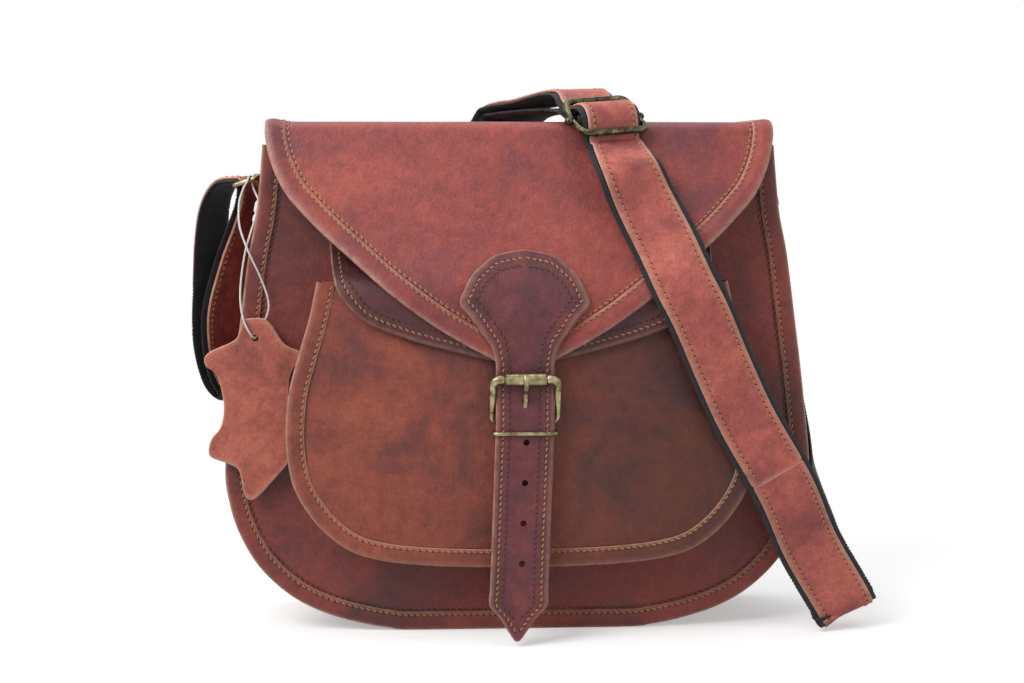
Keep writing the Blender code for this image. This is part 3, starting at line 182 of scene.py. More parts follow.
def read_off(table, along, lengths):
    """The columns of a table whose rows stand at `along`, read off at these lengths."""
    return np.stack([np.interp(lengths, along, column) for column in table.T], axis=-1)


def resample(points, count):
    """The same path as `count` points at even spacing."""
    along = run_of(points)
    return read_off(points, along, np.linspace(0, along[-1], count))


def between(a, b, c, d, t):
    """Where a smooth curve is at t, 0 to 1, on its way from b to c. It comes from a and goes on to d."""
    return 0.5 * (2 * b + (c - a) * t + (2 * a - 5 * b + 4 * c - d) * t**2 + (3 * b - a - 3 * c + d) * t**3)


def smooth_path(points, count):
    """A smooth curve through the points, as `count` points at even spacing."""
    points = np.array(points, float)
    ends = [2 * points[0] - points[1], *points, 2 * points[-1] - points[-2]]
    fine = [between(*four, t) for four in zip(ends, ends[1:], ends[2:], ends[3:])
            for t in np.linspace(0, 1, 24, endpoint=False)]
    return resample(np.array(fine + [points[-1]]), count)


RING_HEIGHT = 0.232 * 0.93319
STRING_RADIUS = 0.0005
STRING_ROUTE = [
    (-0.1256, -0.0294, 0.1952), (-0.1272, -0.0350, 0.1895), (-0.1292, -0.0392, 0.1815),
    (-0.1311, -0.0405, 0.1693), (-0.1314, -0.0430, 0.1590), (-0.1298, -0.0456, 0.1500),
    (-0.1264, -0.0461, 0.1432), (-0.1247, -0.0436, 0.1417), (-0.1233, -0.0410, 0.1432),
    (-0.1200, -0.0412, 0.1500), (-0.1183, -0.0412, 0.1560), (-0.1193, -0.0413, 0.1625),
    (-0.1227, -0.0418, 0.1716), (-0.1276, -0.0415, 0.1822), (-0.1318, -0.0368, 0.1936),
    (-0.1325, -0.0298, 0.2038), (-0.1312, -0.0222, 0.2105), (-0.1294, -0.0166, 0.2146),
    (-0.1285, -0.0141, 0.2174), (-0.1278, -0.0115, 0.2150), (-0.1268, -0.0122, 0.2112),
    (-0.1252, -0.0168, 0.2082), (-0.1236, -0.0223, 0.2056),
]
LOCK_RADIUS = 0.0015
LOCK_EASE = 0.0003
LOCK_SHARES = [
    (0.0, 0.45), (0.04, 0.66), (0.10, 0.72), (0.26, 0.72), (0.30, 0.62), (0.36, 0.4), (0.42, 0.42),
    (0.45, 0.55), (0.50, 0.90), (0.56, 1.0), (0.86, 1.0), (0.94, 0.9), (1.0, 0.6),
]


def two_tone(name, kind, settings, dark, light, dents, finish, turn=None, **pattern):
    """A finish whose shade and dents follow one pattern; dents are a strength and a depth in metres."""
    made, tree = blank(name)
    if turn is not None:
        coords = node(tree, "ShaderNodeTexCoord").outputs["Object"]
        pattern["Vector"] = node(tree, "ShaderNodeMapping", Vector=coords, Rotation=turn).outputs[0]
    shade = node(tree, kind, settings, **pattern).outputs["Fac"]
    tint = node(tree, "ShaderNodeMix", {"data_type": "RGBA"}, i0=shade, i6=colour(dark), i7=colour(light))
    if dents:
        finish["Normal"] = node(tree, "ShaderNodeBump", Strength=dents[0], Distance=dents[1],
                                Height=shade).outputs[0]
    surface = node(tree, "ShaderNodeBsdfPrincipled", Base_Color=tint.outputs[2], **finish)
    node(tree, "ShaderNodeOutputMaterial", Surface=surface.outputs[0])
    return made


# Twisted cotton scatters light softly, its plies 0.75 mm apart, drawn coarser than real so that they show.
# Moulded nylon is smooth and a little glossy, with faint clouds of 1.7 mm.
cotton = two_tone("white_cotton_string", "ShaderNodeTexWave", (), "#C9C6BF", "#F1EFEA", (0.6, 0.0002),
                  {"Roughness": 0.85}, (0.6, 0.5, 0), Scale=420.0, Distortion=1.5, Detail=2.0)
nylon = two_tone("white_moulded_nylon", "ShaderNodeTexNoise", (), "#D8D6D0", "#EFEEEA", (0.15, 0.0001),
                 {"Roughness": 0.38, "IOR": 1.53}, (0, 0, 0), Scale=600.0, Detail=3.0)

route = smooth_path(STRING_ROUTE, 90)
curve = bpy.data.curves.new("string_loop", "CURVE")
curve.dimensions = "3D"
spline = curve.splines.new("POLY")
spline.points.add(len(route) - 1)
for point, place in zip(spline.points, route):
    point.co = (*place, 1.0)
curve.bevel_depth = STRING_RADIUS
curve.bevel_resolution = 4
curve.use_fill_caps = True
curve.materials.append(cotton)
string = add("string_loop", curve)
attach(string, "tag_string")
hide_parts("tag_string")


def outward_mesh(name, verts, faces):
    """A mesh of these points and faces, its faces turned outward."""
    mesh = bpy.data.meshes.new(name)
    faces = [tuple(int(i) for i in face) for face in faces]
    mesh.from_pydata([tuple(v) for v in np.array(verts, float)], [], faces)
    work = bmesh.new()
    work.from_mesh(mesh)
    bmesh.ops.recalc_face_normals(work, faces=work.faces)
    work.to_mesh(mesh)
    work.free()
    return mesh


def piece(name, verts, faces, look, body, slot, hides=(), edge=None, sharp=40, picks=None):
    """One object with smooth faces turned outward, on a body if one is named. edge: each point's wear, or the
    webbing's painted rib shade.
    """
    mesh = outward_mesh(name, verts, faces)
    for part in look if isinstance(look, list) else [look]:
        mesh.materials.append(part)
    if picks is not None:
        mesh.polygons.foreach_set("material_index", picks)
    if edge is not None:
        mesh.attributes.new("edge", "FLOAT", "POINT").data.foreach_set("value", np.array(edge, np.float32))
    mesh.shade_smooth()
    mesh.set_sharp_from_angle(angle=math.radians(sharp))
    made = add(name, mesh)
    if body:
        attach(made, body)
    if hides:
        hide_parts(*hides)
    return made


def loft(rings, closed=False):
    """Points and faces of one closed body through a row of rings, with flat ends or right round."""
    rings = np.array(rings, float)
    count, around = rings.shape[:2]
    faces = []
    for i in range(count if closed else count - 1):
        j = (i + 1) % count
        for a in range(around):
            b = (a + 1) % around
            faces.append((i * around + a, i * around + b, j * around + b, j * around + a))
    if not closed:
        faces.append(tuple(range(around)))
        faces.append(tuple((count - 1) * around + a for a in range(around)))
    return rings.reshape(-1, 3), faces


def rod(centres, radii, normal, sides=20, closed=False):
    """A round rod along a path that lies in the plane with this normal."""
    centres = np.array(centres, float)
    if closed:
        way = unit(np.roll(centres, -1, axis=0) - np.roll(centres, 1, axis=0))
    else:
        way = tangents(centres)
    up = np.broadcast_to(unit(np.array(normal, float)), centres.shape)
    side = unit(np.cross(way, up))
    radii = np.broadcast_to(np.array(radii, float), len(centres))[:, None]
    angles = [2 * math.pi * k / sides for k in range(sides)]
    rings = [centres + radii * (up * math.cos(a) + side * math.sin(a)) for a in angles]
    return loft(np.stack(rings, axis=1), closed)


low, high = route[0], route[-1]
way = unit(high - low)
low, high = low + way * LOCK_EASE, high - way * LOCK_EASE
centres = [low + (high - low) * share for share, _ in LOCK_SHARES]
radii = [LOCK_RADIUS * wide for _, wide in LOCK_SHARES]
lock = piece("string_lock", *rod(centres, radii, np.cross(way, (1, 0, 0))), nylon, "tag_string", "lock",
             ["tag_lock"])


# Hang tag. A bare offcut of tan hide with ragged lobes, 1.6 mm thick, punched for its string. Its face is
# waxed and lightly creased, and its cut edge is paler.

def shade_ramp(ramp, dark, light, base):
    """Sets a ramp's three stops, each given as (place, sRGB hex)."""
    for stop, (place, text) in zip(ramp.elements, (dark, light)):
        stop.position = place
        stop.color = colour(text)
    ramp.elements.new(base[0]).color = colour(base[1])


def leather(name, base, dark, light, cut, mottle, fibre=0.10, way=0.6, shadow_fade=None):
    """Waxed hide: cloudy dye over a pebbled grain, faint slanted fibres, edges rubbed paler by `edge`.

    The wax leaves it satin. Its smudges are 5.5 mm across and its soft dents 7 mm. The pebbles are drawn
    1.2 mm across, a little coarser than real ones, so that they show.
    """
    made, tree = blank(name)
    coords = node(tree, "ShaderNodeTexCoord").outputs["Object"]
    clouds = node(tree, "ShaderNodeTexNoise", Vector=coords, Scale=1 / mottle, Detail=6.0, Roughness=0.62,
                  Distortion=0.6)
    dye = node(tree, "ShaderNodeValToRGB", Fac=clouds.outputs["Fac"])
    shade_ramp(dye.color_ramp, (0.32, dark), (0.74, light), (0.53, base))
    smudges = node(tree, "ShaderNodeTexNoise", Vector=coords, Scale=1 / 0.0055, Detail=6.0, Roughness=0.72)
    slanted = node(tree, "ShaderNodeMapping", Vector=coords, Rotation=(0, way, 0), Scale=(1500, 500, 320))
    fibres = node(tree, "ShaderNodeTexNoise", Vector=slanted.outputs[0], Scale=1.0, Detail=4.0, Roughness=0.6)
    pebbles = node(tree, "ShaderNodeTexVoronoi", Vector=coords, Scale=1 / 0.0012)
    shades = [
        node(tree, "ShaderNodeMapRange", Value=smudges.outputs["Fac"], From_Min=0.32, From_Max=0.62,
             To_Min=0.72, To_Max=1.08),
        node(tree, "ShaderNodeMapRange", Value=fibres.outputs["Fac"], From_Min=0.3, From_Max=0.7,
             To_Min=1 - fibre, To_Max=1 + 0.6 * fibre),
        node(tree, "ShaderNodeMapRange", Value=pebbles.outputs["Distance"], From_Min=0.2, From_Max=0.8,
             To_Min=1.05, To_Max=0.86),
    ]
    # Painted shade: with shadow_fade, the colour darkens along x from its first value to its second, down to
    # its third share.
    if shadow_fade:
        x = node(tree, "ShaderNodeSeparateXYZ", Vector=coords).outputs["X"]
        shades.append(node(tree, "ShaderNodeMapRange", {"interpolation_type": "SMOOTHSTEP"}, Value=x,
                           From_Min=shadow_fade[0], From_Max=shadow_fade[1], To_Min=1.0, To_Max=shadow_fade[2]))
    shaded = shades[0]
    for shade in shades[1:]:
        shaded = node(tree, "ShaderNodeMath", {"operation": "MULTIPLY"}, i0=shaded.outputs[0],
                      i1=shade.outputs[0])
    grained = node(tree, "ShaderNodeVectorMath", {"operation": "SCALE"}, i0=dye.outputs[0],
                   Scale=shaded.outputs[0])
    worn = node(tree, "ShaderNodeAttribute", {"attribute_name": "edge"})
    scuffs = node(tree, "ShaderNodeTexNoise", Vector=coords, Scale=260.0, Detail=3.0)
    rubbed = node(tree, "ShaderNodeMath", {"operation": "MULTIPLY", "use_clamp": True},
                  i0=worn.outputs["Fac"], i1=scuffs.outputs["Fac"])
    paler = node(tree, "ShaderNodeMath", {"operation": "MULTIPLY", "use_clamp": True}, i0=rubbed.outputs[0],
                 i1=1.5)
    face = node(tree, "ShaderNodeMix", {"data_type": "RGBA"}, i0=paler.outputs[0], i6=grained.outputs[0],
                i7=colour(cut))
    grain = node(tree, "ShaderNodeBump", Strength=0.45, Distance=0.0002, Height=pebbles.outputs["Distance"])
    grain.invert = True
    lines = node(tree, "ShaderNodeBump", Strength=0.22, Distance=0.0002, Height=fibres.outputs["Fac"],
                 Normal=grain.outputs[0])
    soft = node(tree, "ShaderNodeTexNoise", Vector=coords, Scale=1 / 0.007, Detail=4.0)
    dents = node(tree, "ShaderNodeBump", Strength=0.45, Distance=0.0009, Height=soft.outputs["Fac"],
                 Normal=lines.outputs[0])
    shine = node(tree, "ShaderNodeMapRange", Value=clouds.outputs["Fac"], From_Min=0.3, From_Max=0.7,
                 To_Min=0.42, To_Max=0.60)
    surface = node(tree, "ShaderNodeBsdfPrincipled", Base_Color=face.outputs[2], Roughness=shine.outputs[0],
                   IOR=1.46, Normal=dents.outputs[0])
    node(tree, "ShaderNodeOutputMaterial", Surface=surface.outputs[0])
    return made


def wave(point, size, height):
    """Smooth unevenness of a hide at this point, up to `height` either way."""
    return noise.noise(Vector((*point,)) / size) * height


def at_depth(outline, depth):
    """Points of a plane outline (x, z), placed at y = depth."""
    return np.stack([outline[:, 0], np.full(len(outline), depth), outline[:, 1]], axis=1)


def blade(outline, depth, thickness, name, look, body, slot, hides, bumps=0.0003, rings=12, core=None):
    """A flat plate of leather inside a closed outline (x, z), with a rounded edge and an uneven face."""
    core = outline.mean(axis=0) if core is None else np.array(core)
    shares = np.linspace(0.06, 1, rings) ** 0.8
    way = unit(np.roll(outline, -1, axis=0) - np.roll(outline, 1, axis=0))
    outward = np.stack([way[:, 1], -way[:, 0]], axis=1)
    turns = np.sum(outline[:, 0] * np.roll(outline[:, 1], -1) - outline[:, 1] * np.roll(outline[:, 0], -1))
    outward = outward * (1 if turns > 0 else -1)
    half = thickness / 2
    inner = outline - outward * half * 0.5
    face = [(core + (inner - core) * share, 0.35 if share == 1 else 0.0) for share in shares]
    layers = [(ring, -half, worn) for ring, worn in face]
    layers += [(outline, -half * 0.45, 1.0), (outline, half * 0.45, 1.0)]
    layers += [(ring, half, worn) for ring, worn in reversed(face)]
    made = [at_depth(ring, depth + y) for ring, y, _ in layers]
    wear = [np.full(len(ring), worn) for ring, _, worn in layers]
    verts, faces = loft(made)
    verts[:, 1] += [wave((x, 0, z), 0.016, bumps) for x, _, z in verts]
    return piece(name, verts, faces, look, body, slot, hides, np.concatenate(wear))


def punch(made, places, radius, length):
    """Round holes through a piece, front to back, cut by an exact Boolean whose result is kept."""
    verts, faces = [], []
    for place in places:
        first = len(verts)
        for end in (-length / 2, length / 2):
            for k in range(24):
                a = 2 * math.pi * k / 24
                verts.append(np.array(place) + (-radius * math.sin(a), end, -radius * math.cos(a)))
        near, far = tuple(range(first, first + 24)), tuple(range(first + 24, first + 48))
        faces += [near, far] + [(near[k], near[k - 1], far[k - 1], far[k]) for k in range(24)]
    cutter = add("punch", outward_mesh("punch", verts, faces))
    hole = made.modifiers.new("hole", "BOOLEAN")
    hole.operation = "DIFFERENCE"
    hole.object = cutter
    graph = bpy.context.evaluated_depsgraph_get()
    cut = bpy.data.meshes.new_from_object(made.evaluated_get(graph))
    made.modifiers.clear()
    made.data = cut
    bpy.data.objects.remove(cutter)
    return made


TAG_LEFT, TAG_BOTTOM = -0.1481, 0.0656
TAG_WIDTH, TAG_HEIGHT = 0.0447, 0.0851
TAG_DEPTH = -0.0436
TAG_THICKNESS = 0.0016
TAG_HOLE = (-0.12472, -0.0436, 0.14168)
TAG_HOLE_RADIUS = 0.0016
TAG_SHARES = [
    (0.405, 1.0), (0.64, 0.994), (0.83, 0.86), (1.0, 0.807), (0.90, 0.70), (0.872, 0.60), (0.865, 0.30),
    (0.87, 0.215), (0.72, 0.115), (0.503, 0.0), (0.40, 0.02), (0.34, 0.157), (0.22, 0.20), (0.038, 0.242),
    (0.05, 0.33), (0.15, 0.40), (0.19, 0.503), (0.16, 0.62), (0.11, 0.70), (0.0, 0.747), (0.031, 0.811),
    (0.304, 0.881), (0.36, 0.93), (0.405, 1.0),
]

tag_hide = leather("tan_tag_hide", "#BE6656", "#964E44", "#D27A63", "#E8B8A0", mottle=0.026, fibre=0.12)
outline = [(TAG_LEFT + TAG_WIDTH * x, TAG_BOTTOM + TAG_HEIGHT * z) for x, z in TAG_SHARES]
tag = blade(smooth_path(outline, 161)[:-1], TAG_DEPTH, TAG_THICKNESS, "hang_tag_hide", tag_hide, "hang_tag",
            "tan_leather", ["hang_tag"])
punch(tag, [TAG_HOLE], TAG_HOLE_RADIUS, 6 * TAG_THICKNESS)
length = float(run_of(route)[-1])


# Body. Front and back panels, the folded bindings round their lips, and the side gusset sewn between them.
# They are 2 mm waxed hide, the bindings turned over 1 mm hide and sewn through with waxed linen thread.

def inward(outline):
    """Normals of a plane outline that runs anticlockwise as seen from the front, pointing into it."""
    along = tangents(outline)
    return np.stack([-along[:, 1], along[:, 0]], axis=1)


def both_sides(shares, half_width, height, base=0.0):
    """Outline from the top left corner, down, along the bottom and up to the top right corner."""
    right = np.array([(x * half_width, base + z * height) for x, z in shares])
    left = right[::-1] * (-1, 1)
    return np.concatenate([left, right[1:] if shares[0][0] == 0 else right])


def along_outline(outline, section):
    """Rings of a strip along a plane outline. section(share) gives its (inset, y) corners there."""
    rings = []
    for i, (point, normal) in enumerate(zip(outline, inward(outline))):
        corners = section(i / (len(outline) - 1))
        rings.append([(point[0] + normal[0] * n, y, point[1] + normal[1] * n) for n, y in corners])
    return rings


def strip(name, outline, section, look, hides, wear=(0.0,)):
    """One object of the bag: a strip along a plane outline. wear is that of its section's corners."""
    verts, faces = loft(along_outline(outline, section))
    piece(name, verts, faces, look, "bag", "body_leather", hides, np.tile(wear, len(verts) // len(wear)))


STITCH_RADIUS, STITCH_ARCH, STITCH_SLANT, NEEDLE_HOLE_RADIUS = 0.00029, 0.00016, 0.35, 0.00044
STITCH_SINK, HOLE_PLACE, HOLE_LIFTS = 0.00004, 0.60, (-0.0003, 0.00005)
STITCH_SHARES = ((-1.0, 0.45), (-0.72, 1.0), (0.0, 1.08), (0.72, 1.0), (1.0, 0.45))


def stitches(name, points, facing, body, pitch=0.0030, reach=0.0022, dark=False):
    """A row of waxed thread over a seam: slanted arched stitches, and needle holes as dark discs of painted
    shade.
    """
    points, facing = np.array(points, float), np.array(facing, float)
    along = run_of(points)
    places = np.arange(pitch / 2, along[-1] - pitch / 2, pitch)
    centre, out = read_off(points, along, places), unit(read_off(facing, along, places))
    way = unit(read_off(points, along, places + pitch / 4) - centre)
    lay = unit(way * math.cos(STITCH_SLANT) + np.cross(way, out) * math.sin(STITCH_SLANT))
    over = unit(np.cross(lay, out))
    six, eight = [[2 * math.pi * k / count for k in range(count)] for count in (6, 8)]
    verts, faces, picks = [], [], []
    for c, n, t, s in zip(centre, out, lay, over):
        thread, hole = [], []
        for u, wide in STITCH_SHARES:
            middle = c + t * u * reach / 2 + n * (STITCH_ARCH * (1 - u * u) - STITCH_SINK)
            thread.append([middle + STITCH_RADIUS * wide * (n * math.cos(a) + s * math.sin(a)) for a in six])
        for lift in HOLE_LIFTS:
            middle = c + t * reach * HOLE_PLACE + n * lift
            hole.append([middle + NEEDLE_HOLE_RADIUS * (t * math.cos(a) + s * math.sin(a)) for a in eight])
        for pick, rings in enumerate((thread, hole)):
            points, sides = loft(rings)
            faces += [tuple(len(verts) + k for k in side) for side in sides]
            picks += [pick] * len(sides)
            verts += list(points)
    looks = [dark_linen if dark else linen, needle_hole_shade]
    return piece(name, verts, faces, looks, body, "body_leather", picks=picks)


# Waxed linen is satin, with its plies laid slantwise, 0.5 mm apart. The dark thread is the same one, soiled
# by the dye.
PLIES = {"bands_direction": "DIAGONAL"}
linen = two_tone("waxed_linen_thread", "ShaderNodeTexWave", PLIES, "#8E643C", "#D2A566", (0.5, 0.0001),
                 {"Roughness": 0.55}, (0, 0, 0), Scale=700.0, Distortion=2.0)
dark_linen = two_tone("dark_waxed_thread", "ShaderNodeTexWave", PLIES, "#3C2521", "#6A4334", (0.5, 0.0001),
                      {"Roughness": 0.6}, Scale=700.0, Distortion=2.0)
# The needle holes are painted shade: dark discs, sunk into the hide and standing just proud of it, where the
# holes would lie in shadow.
needle_hole_shade = two_tone("needle_hole_painted_shade", "ShaderNodeTexNoise", (), "#1F1212", "#3A2422", None,
                       {"Roughness": 0.9}, Scale=900.0)

HALF_WIDTH, HEIGHT, HALF_DEPTH = 0.140, 0.232, 0.0375
GAP = 0.0003
PANEL, FLANGE, BINDING = 0.0020, 0.0015, 0.0010
BINDING_WIDTH, BINDING_SEAM, PANEL_SEAM = 0.0090, 0.0074, 0.0101
GUSSET_INSET = 0.0095
BASE_HALF_DEPTH = 0.018
LINING, LINING_EASE = 0.0008, 0.0008
PANEL_TOP = 0.238
LIP_SHARES = [
    (0.33, 0.0), (0.45, 0.005), (0.56, 0.018), (0.68, 0.041), (0.79, 0.078), (0.89, 0.136), (0.955, 0.205),
    (0.988, 0.27), (1.0, 0.345), (0.971, 0.517), (0.943, 0.647), (0.914, 0.776), (0.886, 0.862),
    (0.871, 0.95), (0.864, 1.0),
]
lip = smooth_path(both_sides(LIP_SHARES, HALF_WIDTH, HEIGHT), 300)
lip[:, 1] = np.maximum(lip[:, 1], 0)

body_hide = leather("red_brown_waxed_hide", "#8A403A", "#562A2B", "#9F4D42", "#C08E7C", mottle=0.045)
edge_hide = leather("turned_edge_hide", "#8A433A", "#5B3035", "#A05547", "#C08E7C", mottle=0.030)

for name, side in (("front_edge_binding", -1), ("back_edge_binding", 1)):
    front = HALF_DEPTH
    rear = HALF_DEPTH - 2 * BINDING - PANEL - FLANGE - 3 * GAP
    thick = BINDING
    section = [
        (0.0002, front - thick), (0, front - 2 * thick), (0, rear + 2 * thick), (0.0004, rear + 0.5 * thick),
        (thick, rear), (BINDING_WIDTH - 0.0005, rear), (BINDING_WIDTH, rear + thick / 2),
        (BINDING_WIDTH - 0.0003, rear + thick), (thick, rear + thick), (thick, front - thick),
        (BINDING_WIDTH - 0.0003, front - thick), (BINDING_WIDTH, front - thick / 2),
        (BINDING_WIDTH - 0.0004, front - 0.0001), (0.0075, front - 0.00022), (0.0060, front),
        (0.0035, front + 0.0002), (0.0015, front), (0.0006, front - 0.0003),
    ]
    wear = [1.0, 1, 1, 0.8, 0.5, 0, 0.9, 0, 0, 0, 0, 1.0, 0.5, 0, 0, 0, 0.10, 0.9]
    strip(name + "_hide", lip, lambda _: [(n, side * y) for n, y in section], body_hide, [name], wear)
    row = lip + inward(lip) * BINDING_SEAM
    out = np.tile((0, side, 0), (len(row), 1))
    stitches(name + "_thread", at_depth(row, side * (HALF_DEPTH - 0.0001)), out, "bag")

for name, side, top in (("front_panel", -1, HEIGHT), ("back_panel", 1, PANEL_TOP)):
    outline = lip + inward(lip) * (BINDING + GAP)
    rise = (0, top - HEIGHT)
    ends = np.concatenate([[outline[0] + rise], outline, [outline[-1] + rise]])
    close = np.linspace(ends[-1], ends[0], 60)[1:-1]
    whole = np.concatenate([ends, close])
    middle = side * (HALF_DEPTH - BINDING - GAP - PANEL / 2)
    blade(whole, middle, PANEL, name + "_hide", body_hide, "bag", "body_leather", [name], 0.00022, 26,
          (0, 0.115))
    row = lip + inward(lip) * PANEL_SEAM
    out = np.tile((0, side, 0), (len(row), 1))
    row = at_depth(row, side * (HALF_DEPTH - BINDING - GAP))
    stitches(name + "_inner_thread", row, out, "bag", dark=True)


def gusset_section(share):
    """Wall of the gusset with its two sewn flanges. Along the base the wall sags to the ground."""
    outer = HALF_DEPTH - BINDING - PANEL - 2 * GAP
    wall, edge, deep = GUSSET_INSET, BINDING + GAP, BASE_HALF_DEPTH
    sag = wall * max(0.0, min(1.0, (0.30 - abs(share - 0.5) * 2) / 0.12))
    start = (deep + outer) / 2
    line = [(edge, outer), (edge, outer - FLANGE), (wall - 0.002, outer - FLANGE)]
    line += [(wall, outer - FLANGE - 0.001)]
    line += [(wall, start + 0.002), (wall - sag * 0.5, (deep + start) / 2), (wall - sag, deep)]
    line += [(wall - sag, deep * k / 4) for k in (3, 2, 1, 0)]
    line += [(n, -y) for n, y in reversed(line[:-1])]
    back = [(edge, -outer), (wall + FLANGE, -outer), (wall + FLANGE, -start)]
    back += [(wall - sag + FLANGE, -deep * k / 4) for k in (4, 2, 0, -2, -4)]
    back += [(wall + FLANGE, start), (wall + FLANGE, outer)]
    return line + back[1:]


side_hide = leather("gusset_hide", "#6E332C", "#4A2425", "#854437", "#A36E5C", mottle=0.040, way=0.1)
strip("side_gusset_hide", lip, gusset_section, side_hide, ["side_gusset"])


# Lining. A thin brown cotton cup inside the body, open at the top and sewn in with the gusset. Cotton drill
# is dull. Its slanted twill lines are drawn 1 mm apart, a little coarser than real, so that they show.

drill = two_tone("brown_cotton_drill", "ShaderNodeTexWave", (), "#4A3C31", "#665444", (0.4, 0.0002),
                 {"Roughness": 0.9}, (0, 0.785, 0), Scale=300.0, Distortion=0.8, Detail=2.0)

outer = lip + inward(lip) * (GUSSET_INSET + FLANGE + LINING_EASE)
inner = outer + inward(lip) * LINING
deep = HALF_DEPTH - BINDING - GAP - PANEL - LINING_EASE
count = len(outer)
rows = [at_depth(outer, -deep), at_depth(outer, deep)]
rows += [at_depth(inner, LINING - deep), at_depth(inner, deep - LINING)]
faces = [tuple(range(count)), tuple(range(count, 2 * count))]
faces += [tuple(range(2 * count, 3 * count)), tuple(range(3 * count, 4 * count))]
for i in range(count - 1):
    faces.append((i, i + 1, count + i + 1, count + i))
    faces.append((2 * count + i, 2 * count + i + 1, 3 * count + i + 1, 3 * count + i))
last = count - 1
faces += [(0, last, 2 * count + last, 2 * count), (count, count + last, 3 * count + last, 3 * count)]
faces += [(0, count, 3 * count, 2 * count), (last, count + last, 3 * count + last, 2 * count + last)]
piece("main_lining_drill", np.concatenate(rows), faces, drill, "bag", "lining_cloth", ["main_lining"])


# Front pocket. A shallow bellows pocket: a bulging front, a gusset sewn to the body, and a turned border
# round the seam between them.

POCKET_HALF_WIDTH, POCKET_BOTTOM, POCKET_HEIGHT = 0.110, 0.035, 0.134
POCKET_DEPTH, POCKET_BULGE, POCKET_LEATHER = 0.0245, 0.0045, 0.0018
POCKET_FLANGE, POCKET_INSET = 0.0080, 0.0065
POCKET_BUMPS, POCKET_BUMP_SIZE = 0.0008, 0.045
BORDER, BORDER_WIDTH, BORDER_SEAM = 0.0009, 0.0085, 0.0071
POCKET_FACE = HALF_DEPTH + POCKET_DEPTH
POCKET_RIM = POCKET_FACE - BORDER - GAP
POCKET_SHARES = [
    (0.0, 0.0), (0.22, 0.002), (0.42, 0.010), (0.60, 0.028), (0.74, 0.066), (0.865, 0.150), (0.955, 0.260),
    (0.99, 0.360), (1.0, 0.480), (0.985, 0.620), (0.945, 0.745), (0.90, 0.870), (0.865, 1.0),
]
mouth = smooth_path(both_sides(POCKET_SHARES, POCKET_HALF_WIDTH, POCKET_HEIGHT, POCKET_BOTTOM), 260)

# Painted shade: the pocket's front darkens towards the right, to 0.32 of its colour, where the flap shades
# it.
pocket_hide = leather("pocket_front_hide", "#954A3C", "#552C2E", "#AB5B43", "#C8947E", mottle=0.045,
                      shadow_fade=(-0.045, 0.085, 0.32))
rim = np.concatenate([mouth, np.linspace(mouth[-1], mouth[0], 90)[1:-1]])
way = unit(np.roll(rim, -1, axis=0) - np.roll(rim, 1, axis=0))
flat = rim + np.stack([-way[:, 1], way[:, 0]], axis=1) * (BORDER_WIDTH + GAP)
middle = flat.mean(axis=0)
outer = []
for share in np.linspace(0.05, 1, 26):
    ring = middle + (flat - middle) * share
    depth = POCKET_RIM + POCKET_BULGE * (1 - share**2.4)
    outer.append(at_depth(ring, -depth))
outer.append(at_depth(rim, -POCKET_RIM))
inner = [ring + (0, POCKET_LEATHER, 0) for ring in reversed(outer)]
verts, faces = loft(outer + inner)
verts[:, 1] += [wave((x, 0, z), POCKET_BUMP_SIZE, POCKET_BUMPS) for x, _, z in verts]
piece("pocket_front_hide", verts, faces, pocket_hide, "bag", "body_leather", ["pocket_front"],
      np.zeros(len(verts)))

front, back, wall = -(POCKET_RIM - POCKET_LEATHER - GAP), -(HALF_DEPTH - BINDING), POCKET_INSET
section = [
    (0, front), (wall, front), (wall + FLANGE, front + 0.0006), (wall + FLANGE, back - FLANGE - 0.001),
    (wall + FLANGE + 0.001, back - FLANGE), (wall + POCKET_FLANGE, back - FLANGE),
    (wall + POCKET_FLANGE, back), (wall + 0.0004, back), (wall, back - 0.0004),
    (wall - 0.0006, back - 0.006), (wall + 0.0004, (front + back) / 2), (wall - 0.0004, front + 0.006),
    (wall, front + FLANGE + 0.0006), (wall - 0.0006, front + FLANGE), (0, front + FLANGE),
]
strip("pocket_gusset_hide", mouth, lambda _: section, side_hide, ["pocket_gusset"])

low, high = -POCKET_FACE + BORDER, -POCKET_FACE
section = [
    (0.0001, low + 0.0016), (0, low), (0.0003, high + 0.0004), (0.0012, high + 0.00005),
    (0.0030, high - 0.0002), (0.0050, high - 0.0001), (0.0068, high + 0.0001), (0.0079, high + 0.0001),
    (BORDER_WIDTH, high + 0.0004), (BORDER_WIDTH, low), (0.0050, low), (0.0016, low),
]
wear = [1.0, 1, 0.9, 0.25, 0, 0, 0, 0.3, 1, 0.5, 0, 0]
strip("pocket_border_hide", mouth, lambda _: section, pocket_hide, ["pocket_border"], wear)
row = mouth + inward(mouth) * BORDER_SEAM
out = np.tile((0, -1, 0), (len(row), 1))
stitches("pocket_border_thread", at_depth(row, -POCKET_FACE + 0.0001), out, "bag")


# Flaps. The pocket's own flap is sewn on under the main flap. The main flap runs on from the back panel,
# over the top and down the front; both are single hides, the main one 2.2 mm with a turned border.

class Profile:
    """A curve in the YZ plane that is read by its length. Its outer side is on the left of its way."""

    def __init__(self, points):
        self.points = np.array(points, float)
        self.along = run_of(self.points)
        way = tangents(self.points)
        self.outward = np.stack([way[:, 1], -way[:, 0]], axis=1)

    def at(self, length, lift=0.0):
        """Points (y, z) at these lengths, raised off the curve by lift."""
        facing = unit(read_off(self.outward, self.along, length))
        return read_off(self.points, self.along, length) + facing * np.expand_dims(lift, -1)

    def reach(self, height):
        """Length at which the last, falling part of the curve comes down to this height."""
        top = int(np.argmax(self.points[:, 1]))
        return np.interp(-height, -self.points[top:, 1], self.along[top:])


